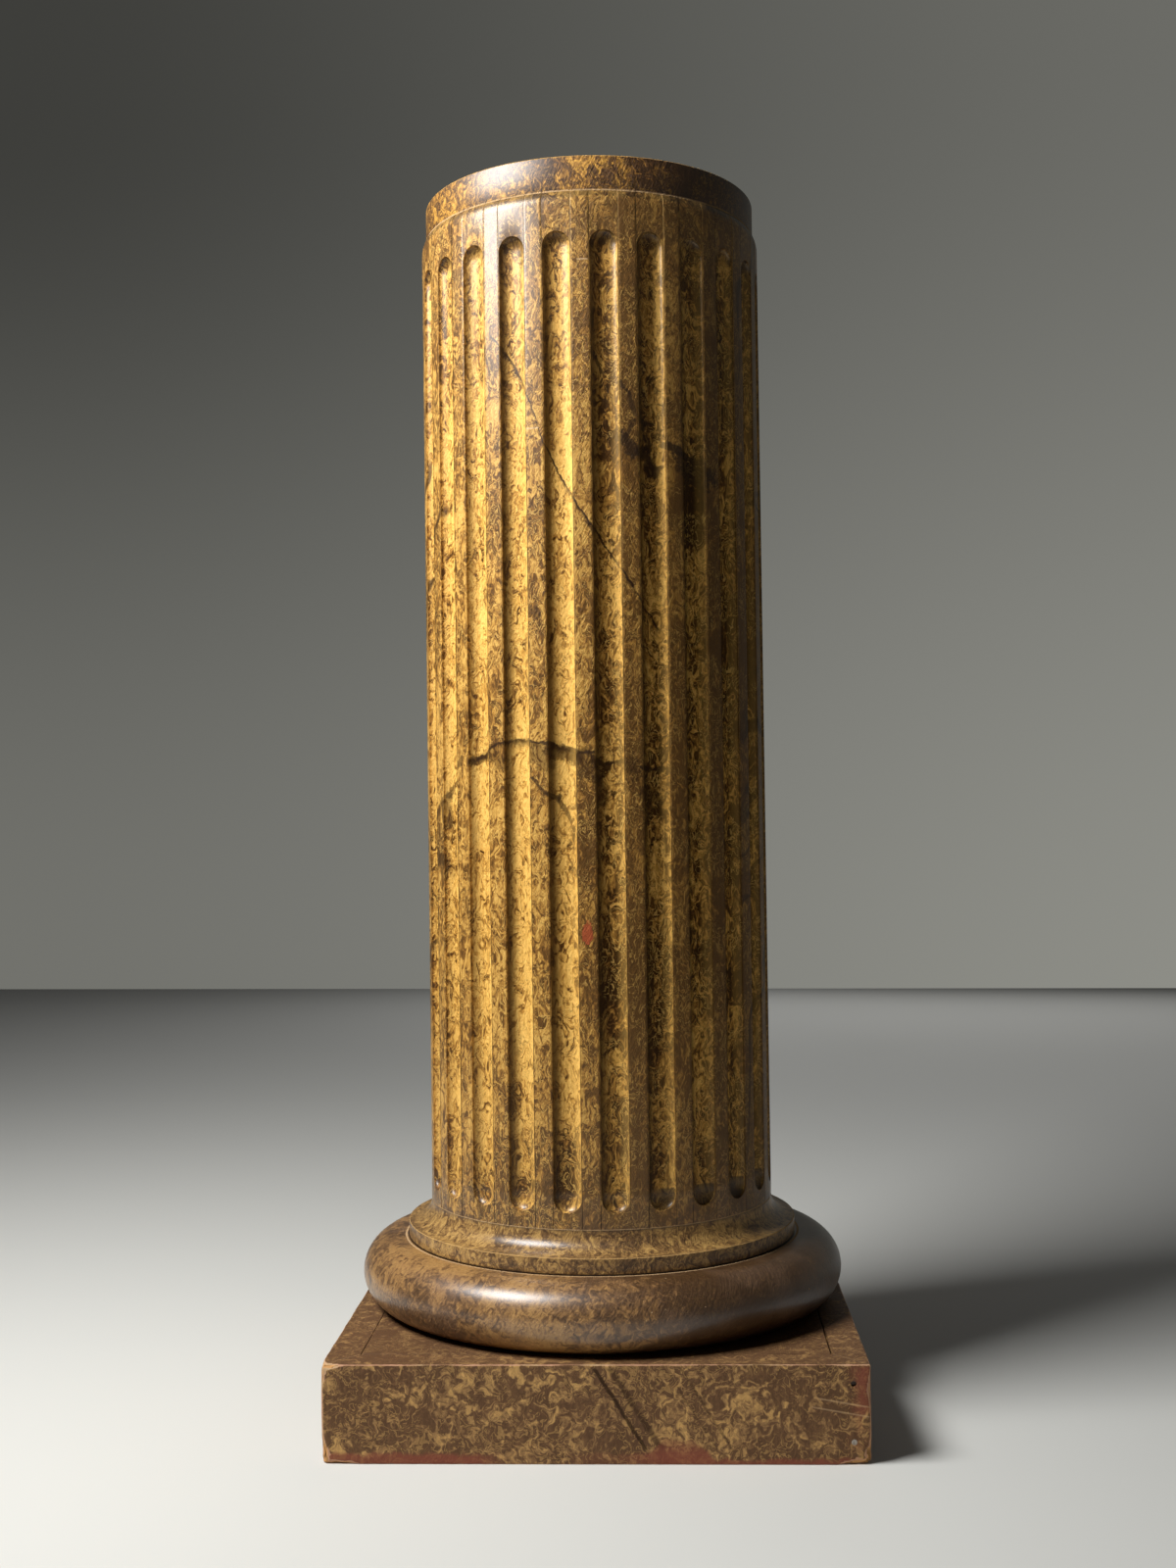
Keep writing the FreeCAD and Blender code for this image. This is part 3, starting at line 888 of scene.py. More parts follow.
@dataclass(frozen=True)
class TorusPaint(MarbledPaint):
    """The torus: finer and duller, with a dark line of painted shade where the fillet stands on it and a pale worn line
    beside that, which is partly a painted highlight.
    """

    fillet_radius: float = 0.1785
    foot: float = 0.08

    def dirt_and_painted_shading(self, at: Spot, colour: Value) -> Value:
        """A dark line of painted shade round the fillet's foot, painted shade on the underside where the torus meets
        the plinth, and the rosy bloom of worn varnish.
        """
        colour = at.grains(19.0, 2.0, 0.5, 0.6).step(0.5, 0.66, 0.14).mix(colour, ROSY_BLOOM)
        # painted shade: a dark line where the fillet stands on the torus
        ring = at.radius.step(self.fillet_radius + 0.0016, self.fillet_radius + 0.0006, 0.95)
        # painted shade along the underside, where the torus meets the plinth
        under = at.height.step(self.foot + 0.006, self.foot + 0.001, 0.7)
        return ring.larger(under).mix(colour, VEIN_JOINT_AND_SHADE_BROWN)

    def wear(self, at: Spot, colour: Value) -> tuple[Value, Value]:
        """Rubs a pale line beside the fillet, which is wear and partly a painted highlight, and chips the shoulder here
        and there.
        """
        # worn pale line, partly a painted highlight along the torus's top next to the fillet
        rubbed_and_highlit = at.worn(at.radius.near(self.fillet_radius + 0.0028, 0.0012), 0.85, 70.0)
        colour = (rubbed_and_highlit * 0.7).mix(colour, PALE_EDGE)
        chips = at.grains(230.0, 2.0, 0.5).step(0.735, 0.765)
        return (chips * 0.8).mix(colour, PALE_EDGE), rubbed_and_highlit.larger(chips)


@dataclass(frozen=True)
class PlinthPaint(MarbledPaint):
    """The plinth: bold brown dabs, a pair of slanting veins in front, and wear down to primer and wood."""

    half: float = 0.222
    top: float = 0.08
    joint: float = 0.194
    vein_slope: float = 0.63
    scratch_slope: float = 0.17
    comb_teeth: float = 540.0

    def brushed(self, at: Spot) -> tuple[Value, Value]:
        """Along the boards and up or across them."""
        return at.across * DEGREES_PER_METRE, at.height + at.back

    def front(self, at: Spot) -> Value:
        """The mask of the front face."""
        return at.back.step(0.004 - self.half, 0.002 - self.half)

    def veins(self, at: Spot, colour: Value) -> Value:
        """The slanting veins on the front board: a pair in the middle, and two finer ones."""
        slant = at.across + at.height * self.vein_slope
        front = self.front(at) * (at.height.step(0.009, 0.014) * at.height.step(0.079, 0.075))
        lines = ((0.0485, 0.0026, 0.85), (0.0615, 0.0045, 0.55), (0.118, 0.0017, 0.45), (0.106, 0.0013, 0.35))
        for start, width, strength in lines:
            vein = at.group(at.shop.vein, distance=slant - start, width=width, shadow=0.008, ragged=0.0035)
            colour = (vein["Line"] * strength * front).mix(colour, VEIN_JOINT_AND_SHADE_BROWN)
        return self.comb_lines(at, colour)

    def comb_lines(self, at: Spot, colour: Value) -> Value:
        """Close strokes of a graining comb on the panel, beside the torus at the front right."""
        lines = abs(at.graph.math("FRACT", at.across * self.comb_teeth) - 0.5).step(0.32, 0.2)
        where = at.across.near(0.135, 0.04) * at.back.step(-0.14, -0.16)
        where = where * at.height.step(self.top - 0.002, self.top - 0.001, 0.55)
        inside = at.back.step(-self.joint - 0.002, -self.joint + 0.001)
        return (lines * where * inside).mix(colour, self.umber)

    def dirt_and_painted_shading(self, at: Spot, colour: Value) -> Value:
        """Cracks along the joints between the boards and the panel, a pale line on the mitres, the whole top darker,
        and painted shadow on the top round the torus.
        """
        lid = at.height.step(self.top - 0.0012, self.top - 0.0004)
        across, back = abs(at.across), abs(at.back)
        reach = across.larger(back)
        crack = reach.near(self.joint, 0.0011) * at.grains(13.0, 3.0, 0.6).step(0.44, 0.56) * lid
        mitre = (across - back).near(0.0, 0.0008) * reach.step(self.joint, self.joint + 0.002)
        colour = (crack * 0.9).mix(colour, VEIN_JOINT_AND_SHADE_BROWN)
        colour = (mitre * lid * 0.45).mix(colour, PALE_EDGE)
        colour = (lid * 0.45).mix(colour, self.umber)
        # painted shadow: darker on the top round the foot of the torus
        return (at.radius.step(0.216, 0.2, 0.6) * lid).mix(colour, self.umber)

    def wear(self, at: Spot, colour: Value) -> tuple[Value, Value]:
        """Red primer along the foot and the corners, a pale line on the arris, and bare wood in the chips."""
        colour = self.primer(at).mix(colour, RED_PRIMER)
        arris = at.worn(at.graph.mark("arris"), self.wear_bite, 95.0)
        shade = at.grains(31.0).step(0.34, 0.52).mix(PALE_EDGE, ROSY_EDGE)
        colour = (arris * 0.85).mix(colour, shade)
        grain = at.graph.group(at.shop.grain, vector=at.graph.vector("MULTIPLY", at.place, (0.1, 1.0, 6.0)))
        wood = grain["Late wood"].mix(BARE_PINE, LATE_PINE)
        bare = at.worn(at.graph.mark("bare"), 0.62, 110.0)
        return bare.mix(self.scratches(at, colour), wood), arris.larger(bare)

    def primer(self, at: Spot) -> Value:
        """Where the sides are worn to the primer: a ragged strip along the foot, and the corners on the right."""
        across, back = abs(at.across), abs(at.back)
        ragged = at.swing(60.0, 4.0, 0.65) * 0.012
        swell = abs(at.across - 0.068).step(0.03, 0.008, 0.011) + at.across.step(0.1, 0.085, 0.004)
        foot = (at.height - swell - ragged).step(0.0066, 0.002) * at.grains(6.0, 2.0, 0.5).step(0.34, 0.5)
        foot = foot * at.height.step(0.019, 0.006).span(0.45, 1.0)
        corner = (across.smaller(back) + ragged * 1.3).step(self.half - 0.02, self.half - 0.006, 0.9)
        faded = at.grains(38.0, 3.0, 0.6).step(0.4, 0.62) * at.across.step(0.1, 0.2)
        side = across.larger(back).step(self.half - 0.003, self.half - 0.0015)
        side = side * at.height.step(self.top, self.top - 0.003)
        return foot.larger(corner * faded) * side * 0.85

    def scratches(self, at: Spot, colour: Value) -> Value:
        """Two light scratches that run to the right end of the front board."""
        front = self.front(at)
        for start, level in ((0.176, 0.0535), (0.172, 0.0465)):
            slope = at.height + (at.across - start) * self.scratch_slope
            line = slope.near(level, SCRATCH_HALF) * at.across.step(start, start + 0.006, 0.4)
            colour = (line * front).mix(colour, PALE_EDGE)
        return colour


@dataclass(frozen=True)
class BareWood:
    """Planed softwood that was never painted."""

    relief: float = 0.0002

    def material(self, shop: PaintShop) -> bpy.types.Material:
        """Builds the material."""
        made, graph = new_material(Slot.SOFTWOOD.value)
        grain = graph.group(shop.grain, vector=graph.place())
        graph.shader("ShaderNodeBsdfPrincipled", {
            "Base Color": grain["Late wood"].mix(PINE, LATE_PINE),
            "Roughness": grain["Fibre"].span(0.6, 0.8),
            "Normal": graph.bump(grain["Fibre"], self.relief),
        })
        return made


@dataclass(frozen=True)
class DullIron:
    """Drawn iron with spots of rust, and rusty all over from the middle of the plinth up."""

    metal: Colour = (0.45, 0.41, 0.36)
    rust: Colour = (0.05, 0.02, 0.01)

    def material(self) -> bpy.types.Material:
        """Builds the material."""
        made, graph = new_material("dull_iron")
        place = graph.place()
        height = graph.axes(place)[2]
        rust = graph.grains(place, 700.0, 3.0, 0.7).step(0.5, 0.66).larger(height.step(0.04, 0.05, 0.9))
        graph.shader("ShaderNodeBsdfPrincipled", {
            "Base Color": rust.mix(self.metal, self.rust),
            "Metallic": 1.0 - rust,
            "Roughness": graph.grains(place, 900.0).span(0.35, 0.6),
        })
        return made


CAP_FINISH = CapPaint(
    Region.CAP,
    glow=(0.72, 0.39, 0.07),
    ochre=(0.46, 0.225, 0.038),
    tan=(0.24, 0.11, 0.021),
    brown=(0.13, 0.057, 0.016),
    umber=(0.06, 0.026, 0.008),
    # painted shade: heavier glaze darkens the cap's right side
    patches=(DarkPatch(70.0, 1.07, 62.0, 0.2, 0.4),),
    marks=125.0,
    cover=0.54,
    edge=0.07,
    stretch=0.9,
    curl=0.25,
    coat=1.0,
    coat_roughness=0.4,
    coat_ior=1.52,
    relief=0.003,
)
SHAFT_FINISH = ShaftPaint(
    Region.SHAFT,
    patches=(
        DarkPatch(35.0, 0.785, 9.0, 0.05, 0.3),
        DarkPatch(10.0, 0.86, 7.0, 0.05, 0.14),
        DarkPatch(-62.0, 0.5, 12.0, 0.04, 0.12),
        DarkPatch(12.0, 0.34, 22.0, 0.14, 0.13),
        DarkPatch(-2.0, 0.5, 6.0, 0.07, 0.18),
        # painted shade: these two lay heavier glaze down the whole height, darkening the shaft towards its right
        DarkPatch(66.0, 0.6, 46.0, 0.7, 0.26),
        DarkPatch(14.0, 0.62, 17.0, 0.6, 0.15),
    ),
)
FOOT_FINISH = FootPaint(
    Region.FOOT,
    glow=(0.60, 0.37, 0.12),
    ochre=(0.40, 0.23, 0.072),
    tan=(0.26, 0.143, 0.048),
    brown=(0.16, 0.082, 0.03),
    umber=(0.075, 0.038, 0.015),
    cover=0.5,
    edge=0.15,
    stretch=0.9,
    curl=0.2,
    coat=0.75,
    coat_roughness=0.3,
    coat_ior=1.6,
    relief=0.0012,
)
TORUS_FINISH = TorusPaint(
    Region.TORUS,
    glow=(0.45, 0.25, 0.082),
    ochre=(0.31, 0.163, 0.055),
    tan=(0.20, 0.102, 0.037),
    brown=(0.13, 0.064, 0.024),
    umber=(0.07, 0.033, 0.012),
    # painted shade and painted light: heavier glaze darkens the torus's right side, thinner glaze lightens its left
    patches=(DarkPatch(75.0, 0.11, 70.0, 0.2, 0.5), DarkPatch(-50.0, 0.11, 50.0, 0.2, -0.2)),
    marks=95.0,
    dabs=28.0,
    cover=0.55,
    edge=0.16,
    tide=1.1,
    stretch=0.9,
    curl=0.1,
    coat=1.0,
    coat_roughness=0.345,
    coat_ior=1.67,
    relief=0.0014,
)
PLINTH_FINISH = PlinthPaint(
    Region.PLINTH,
    glow=(0.726, 0.435, 0.153),
    ochre=(0.528, 0.308, 0.111),
    tan=(0.319, 0.179, 0.0755),
    brown=(0.198, 0.105, 0.0484),
    umber=(0.127, 0.0649, 0.0319),
    patches=(DarkPatch(22.0, 0.04, 13.0, 0.06, -0.13),),
    marks=78.0,
    dabs=24.0,
    cover=0.65,
    edge=0.045,
    stretch=1.0,
    tide=0.5,
    fine=0.15,
    curl=0.35,
    coat=0.1,
    relief=0.0006,
    wear_bite=0.5,
)


# ---------------------------------------------------------------- meshes


def arc_points(centre: Point, radius: float, start: float, end: float, count: int) -> list[Point]:
    """Points along an arc in the (radius, height) plane, from one angle in degrees to another."""
    angles = [math.radians(start + (end - start) * step / count) for step in range(count + 1)]
    return [(centre[0] + radius * math.cos(angle), centre[1] + radius * math.sin(angle)) for angle in angles]


def spun(profile: list[Point], steps: int, turn: float = 2 * math.pi, closed: bool = False) -> bmesh.types.BMesh:
    """Spins an outline of (radius, height) points about the Z axis.

    Args:
        profile: the outline, from the axis round to the axis, or a closed ring of points.
        steps: how many steps the turn takes.
        turn: the angle turned, in radians, centred on +X when it isn't full.
        closed: whether the last point joins the first.

    Returns:
        A bmesh with doubles merged; a part turn still has open ends.
    """
    made = bmesh.new()
    points = [made.verts.new((radius, 0.0, height)) for radius, height in profile]
    pairs = list(zip(points, points[1:]))
    if closed:
        pairs.append((points[-1], points[0]))
    edges = [made.edges.new(pair) for pair in pairs]
    full = turn == 2 * math.pi
    if not full:
        turn_about(made, -turn / 2)
    still, up = (0, 0, 0), (0, 0, 1)
    bmesh.ops.spin(
        made, geom=points + edges, cent=still, axis=up, dvec=still, angle=turn, steps=steps, use_merge=full
    )
    bmesh.ops.remove_doubles(made, verts=made.verts, dist=MERGE_DISTANCE)
    return made


def turn_about(mesh: bmesh.types.BMesh, angle: float, axis: str = "Z", centre: Place = (0, 0, 0)) -> None:
    """Turns a mesh about an axis through a centre, by an angle in radians."""
    bmesh.ops.rotate(mesh, verts=mesh.verts, cent=centre, matrix=Matrix.Rotation(angle, 3, axis))


def shift(mesh: bmesh.types.BMesh, by: Place) -> None:
    """Moves a mesh."""
    bmesh.ops.translate(mesh, verts=mesh.verts, vec=by)


def block(size: Place, centre: Place) -> bmesh.types.BMesh:
    """A box of a size about a centre."""
    made = bmesh.new()
    bmesh.ops.create_cube(made, size=1.0)
    bmesh.ops.scale(made, verts=made.verts, vec=size)
    shift(made, centre)
    return made


def bisect(mesh: bmesh.types.BMesh, place: Place, normal: Place, **cleared: bool) -> None:
    """Cuts a mesh along a plane, and clears a side of it when asked."""
    everything = list(mesh.verts) + list(mesh.edges) + list(mesh.faces)
    bmesh.ops.bisect_plane(mesh, geom=everything, plane_co=place, plane_no=normal, **cleared)


def close_up(mesh: bmesh.types.BMesh) -> None:
    """Fills open ends and turns every face outwards."""
    bmesh.ops.holes_fill(mesh, edges=[edge for edge in mesh.edges if edge.is_boundary], sides=0)
    bmesh.ops.recalc_face_normals(mesh, faces=mesh.faces)


def ease(mesh: bmesh.types.BMesh, edges: list[bmesh.types.BMEdge], width: float, segments: int = 3) -> None:
    """Rounds edges, and marks the middle of the rounding as arris for the paint to wear on."""
    layer = mesh.verts.layers.float.get("arris") or mesh.verts.layers.float.new("arris")
    cut = bmesh.ops.bevel(
        mesh, geom=edges, offset=width, offset_type="OFFSET", segments=segments, profile=0.5, affect="EDGES",
        clamp_overlap=True, material=-1,
    )
    rounded = set(cut["faces"])
    for face in rounded:
        for vertex in face.verts:
            if all(other in rounded for other in vertex.link_faces):
                vertex[layer] = 1.0


def sharp_edges(mesh: bmesh.types.BMesh) -> list[bmesh.types.BMEdge]:
    """Edges that count as hard ones."""
    return [edge for edge in mesh.edges if len(edge.link_faces) == 2 and edge.calc_face_angle() > SHARP]


def radius_of(vertex: bmesh.types.BMVert) -> float:
    """A vertex's distance from the column's axis."""
    return vertex.co.xy.length


def to_object(
    mesh: bmesh.types.BMesh, name: str, material: bpy.types.Material, node: str | None = None, smooth: float = SHARP
) -> bpy.types.Object:
    """Turns a bmesh into a finished piece that rides on the column.

    Args:
        mesh: the bmesh, which is freed.
        name: the piece's name.
        material: its finish.
        node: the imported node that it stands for.
        smooth: faces that meet at more than this angle in radians keep a hard edge.

    Returns:
        The new object.
    """
    data = bpy.data.meshes.new(name)
    mesh.to_mesh(data)
    mesh.free()
    data.shade_smooth()
    data.set_sharp_from_angle(angle=smooth)
    data.materials.append(material)
    made = bpy.data.objects.new(name, data)
    bpy.context.scene.collection.objects.link(made)
    if node:
        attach(made, BODY)
        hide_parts(node)
    return made


def cut_away(mesh: bmesh.types.BMesh, tool: bmesh.types.BMesh) -> bmesh.types.BMesh:
    """Cuts one closed bmesh out of another, and frees both.

    Returns:
        The cut bmesh.
    """
    made = []
    for part in (mesh, tool):
        data = bpy.data.meshes.new("bench")
        part.to_mesh(data)
        part.free()
        piece = bpy.data.objects.new("bench", data)
        bpy.context.scene.collection.objects.link(piece)
        made.append(piece)
    body, cutter = made
    modifier = body.modifiers.new("cut", "BOOLEAN")
    modifier.object = cutter
    modifier.operation = "DIFFERENCE"
    modifier.solver = "EXACT"
    result = bmesh.new()
    result.from_object(body, bpy.context.evaluated_depsgraph_get())
    for piece in made:
        data = piece.data
        bpy.data.objects.remove(piece)
        bpy.data.meshes.remove(data)
    bmesh.ops.remove_doubles(result, verts=result.verts, dist=MERGE_DISTANCE)
    return result


# ---------------------------------------------------------------- sub-assemblies


@dataclass
class Levels:
    """Heights and radii of the column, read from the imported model."""

    plinth_half: float
    plinth_top: float
    torus_top: float
    stave_foot: float
    stave_head: float
    cap_top: float
    spigot_foot: float
    shaft_radius: float
    cap_radius: float
    foot_radius: float
    torus_radius: float
    spigot_radius: float

    @classmethod
    def measured(cls, nodes: dict[str, bpy.types.Object]) -> Levels:
        """Reads the levels from the nodes' meshes.

        Args:
            nodes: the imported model's nodes by name.
        """

        def reach(name: str) -> float:
            """A node's greatest radius."""
            return max(vertex.co.xy.length for vertex in nodes[name].data.vertices)

        spigot = [v.co for v in nodes["cap_disc"].data.vertices if v.co.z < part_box("fluted_stave_01")[1].z - MM]
        return cls(
            plinth_half=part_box("plinth_right_board")[1].x,
            plinth_top=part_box("plinth_top_panel")[1].z,
            torus_top=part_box("torus_moulding")[1].z,
            stave_foot=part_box("fluted_stave_01")[0].z,
            stave_head=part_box("fluted_stave_01")[1].z,
            cap_top=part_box("cap_disc")[1].z,
            spigot_foot=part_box("cap_disc")[0].z,
            shaft_radius=reach("fluted_stave_01"),
            cap_radius=reach("cap_disc"),
            foot_radius=reach("foot_moulding"),
            torus_radius=reach("torus_moulding"),
            spigot_radius=max(co.xy.length for co in spigot),
        )


@dataclass
class Cap:
    """The plain turned disc on top."""

    levels: Levels
    arris: float = 0.9 * MM
    seam: float = 0.3 * MM
    lift: float = 0.05 * MM
    rings: tuple[float, ...] = (0.9, 0.5)
    steps: int = 256

    def build(self, paint: bpy.types.Material) -> bpy.types.Object:
        """Builds the disc with its spigot."""
        at = self.levels
        foot = at.stave_head + self.lift
        profile = [
            (0.0, at.spigot_foot),
            (at.spigot_radius, at.spigot_foot),
            (at.spigot_radius, foot),
            (at.cap_radius, foot),
            (at.cap_radius, (foot + at.cap_top) / 2),
            (at.cap_radius, at.cap_top),
            *((at.cap_radius * share, at.cap_top) for share in self.rings),
            (0.0, at.cap_top),
        ]
        mesh = spun(profile, self.steps)
        close_up(mesh)
        rims = [edge for edge in sharp_edges(mesh) if min(radius_of(v) for v in edge.verts) > at.cap_radius - MM]
        ease(mesh, [edge for edge in rims if edge.verts[0].co.z > foot + MM], self.arris)
        ease(mesh, [edge for edge in sharp_edges(mesh) if self.is_seam(edge, foot)], self.seam, 2)
        return to_object(mesh, "cap", paint, "cap_disc")

    def is_seam(self, edge: bmesh.types.BMEdge, foot: float) -> bool:
        """Whether an edge is the disc's lower outer arris."""
        return all(radius_of(v) > self.levels.cap_radius - MM and v.co.z < foot + 0.1 * MM for v in edge.verts)


@dataclass
class Foot:
    """The turned disc between the shaft and the torus: a fillet with a cavetto above it."""

    levels: Levels
    fillet_height: float = 14.0 * MM
    ledge: float = 2.5 * MM
    arris: float = 0.8 * MM
    lower_ease: Point = (MM, 0.6 * MM)
    drop: float = 0.2 * MM
    hollow_steps: int = 12
    steps: int = 256

    def build(self, paint: bpy.types.Material) -> bpy.types.Object:
        """Builds the disc."""
        at = self.levels
        fillet_top = at.torus_top + self.fillet_height
        top = at.stave_foot - self.drop
        hollow = at.foot_radius - self.ledge - at.shaft_radius
        sweep = [
            (at.shaft_radius + hollow * (1 - math.cos(angle)), top - (top - fillet_top) * math.sin(angle))
            for angle in [math.pi / 2 * step / self.hollow_steps for step in range(self.hollow_steps, -1, -1)]
        ]
        inset, rise = self.lower_ease
        profile = [(0.0, at.torus_top), (at.foot_radius - inset, at.torus_top), (at.foot_radius, at.torus_top + rise)]
        profile += [(at.foot_radius, fillet_top), *sweep, (0.0, top)]
        mesh = spun(profile, self.steps)
        close_up(mesh)
        rims = [edge for edge in sharp_edges(mesh) if min(radius_of(v) for v in edge.verts) > at.foot_radius - 0.1 * MM]
        ease(mesh, [edge for edge in rims if edge.verts[0].co.z > at.torus_top + 5 * MM], self.arris)
        return to_object(mesh, "foot", paint, "foot_moulding")


@dataclass
class Torus:
    """The half-round moulding that stands on the plinth."""

    levels: Levels
    rim_steps: int = 40
    steps: int = 256

    def build(self, paint: bpy.types.Material) -> bpy.types.Object:
        """Builds the disc."""
        at = self.levels
        tube = (at.torus_top - at.plinth_top) / 2
        centre = (at.torus_radius - tube, at.plinth_top + tube)
        rim = arc_points(centre, tube, -90.0, 90.0, self.rim_steps)
        mesh = spun([(0.0, at.plinth_top), *rim, (0.0, at.torus_top)], self.steps)
        close_up(mesh)
        return to_object(mesh, "torus", paint, "torus_moulding")


@dataclass
class Shaft:
    """The coopered shaft: fluted staves with a narrow plain stave between each pair."""

    levels: Levels
    count: int = 24
    first_turn: float = 6.5
    thickness: float = 25.5 * MM
    shoulder: float = 12.1 * MM
    flute_width: float = 24.4 * MM
    flute_depth: float = 7.0 * MM
    land: float = 0.4 * MM
    foot_margin: float = 14.0 * MM
    head_margin: float = 35.5 * MM
    joint: float = 0.12 * MM
    shy: float = 0.05 * MM
    lean: float = 0.1
    twist: float = 0.004
    flute_arris: float = 0.55 * MM
    stave_arris: float = 0.35 * MM
    back_margin: float = 4 * MM
    end_clear: float = 5 * MM
    shoulder_steps: int = 6
    stave_steps: tuple[int, int] = (12, 8)
    flute_steps: int = 88
    flute_end_steps: int = 16
    random: random.Random = field(default_factory=lambda: random.Random(24))

    @property
    def half_angle(self) -> float:
        """Half the angle that a fluted stave takes, in radians."""
        return math.asin((self.flute_width / 2 + self.land) / self.levels.shaft_radius)

    def blank(self, half_angle: float, steps: int) -> bmesh.types.BMesh:
        """A bevelled stave facing +X, round outside and flat inside."""
        at = self.levels
        inset = at.shaft_radius - at.cap_radius
        bend = (inset**2 + self.shoulder**2) / (2 * inset)
        sweep = math.degrees(math.asin(self.shoulder / bend))
        middle = (at.shaft_radius - bend, at.stave_head - self.shoulder)
        rounded = arc_points(middle, bend, 0.0, sweep, self.shoulder_steps)
        flat = at.shaft_radius - self.thickness
        inner = flat - self.back_margin
        profile = [(inner, at.stave_foot), (at.shaft_radius, at.stave_foot), *rounded, (inner, at.stave_head)]
        mesh = spun(profile, steps, 2 * half_angle - 2 * self.joint / at.shaft_radius, closed=True)
        close_up(mesh)
        bisect(mesh, (flat, 0, 0), (1, 0, 0), clear_inner=True)
        close_up(mesh)
        return mesh

    def cutter(self) -> bmesh.types.BMesh:
        """What the gouge clears along a stave facing +X: a long round-ended hollow, wider than it is deep."""
        at = self.levels
        half = self.flute_width / 2
        axis = math.sqrt(at.shaft_radius**2 - half**2)
        fullness = (self.flute_depth - at.shaft_radius + axis) / half
        low = at.stave_foot + self.foot_margin + half
        high = at.stave_head - self.head_margin - half
        lower = arc_points((0.0, low), half, -90.0, 0.0, self.flute_end_steps)
        upper = arc_points((0.0, high), half, 0.0, 90.0, self.flute_end_steps)
        mesh = spun([*lower, *upper], self.flute_steps)
        bmesh.ops.scale(mesh, verts=mesh.verts, vec=(fullness, 1.0, 1.0))
        bmesh.ops.recalc_face_normals(mesh, faces=mesh.faces)
        shift(mesh, (axis, 0, 0))
        return mesh

    def fluted(self) -> bmesh.types.BMesh:
        """A fluted stave facing +X, with its flute's arris eased."""
        at = self.levels
        mesh = cut_away(self.blank(self.half_angle, self.stave_steps[0]), self.cutter())
        edge_angle = math.asin(self.flute_width / 2 / at.shaft_radius) + 0.0005
        low = at.stave_foot + self.end_clear
        high = at.stave_head - self.shoulder - self.end_clear
        arrises = [
            edge
            for edge in sharp_edges(mesh)
            if all(
                radius_of(v) > at.shaft_radius - 0.3 * MM
                and abs(math.atan2(v.co.y, v.co.x)) < edge_angle
                and low < v.co.z < high
                for v in edge.verts
            )
        ]
        ease(mesh, arrises, self.flute_arris)
        return mesh

    def plain(self) -> bmesh.types.BMesh:
        """A narrow plain stave facing +X, with its long outer edges eased."""
        at = self.levels
        mesh = self.blank(math.pi / self.count - self.half_angle, self.stave_steps[1])
        sides = [
            edge
            for edge in sharp_edges(mesh)
            if all(radius_of(v) > at.cap_radius - 0.2 * MM for v in edge.verts)
            and abs(edge.verts[0].co.z - edge.verts[1].co.z) > 0.5 * MM
        ]
        ease(mesh, sides, self.stave_arris, 2)
        return mesh

    def build(self, paint: bpy.types.Material) -> list[bpy.types.Object]:
        """Builds every stave, each turned to its place and a hair proud or shy of its neighbours."""
        made = []
        for kind, pattern, offset in (("fluted", self.fluted(), 0.0), ("fillet", self.plain(), 0.5)):
            for index in range(self.count):
                mesh = pattern.copy()
                turn = math.radians(self.first_turn - 90.0 + (index + offset) * 360.0 / self.count)
                lean = self.random.uniform(-self.lean, self.lean) * MM
                twist = self.random.uniform(-self.twist, self.twist)
                turn_about(mesh, twist, centre=(self.levels.shaft_radius, 0, 0))
                shift(mesh, (lean - self.shy, 0, 0))
                turn_about(mesh, turn)
                name = f"{kind}_stave_{index + 1:02d}"
                made.append(to_object(mesh, f"painted_{name}", paint, name))
            pattern.free()
        return made


@dataclass(frozen=True)
class Chip:
    """A knock on the plinth: where it is, how far it spreads and how much the arris is rounded there."""

    place: tuple[float, float, float]
    spread: float
    depth: float


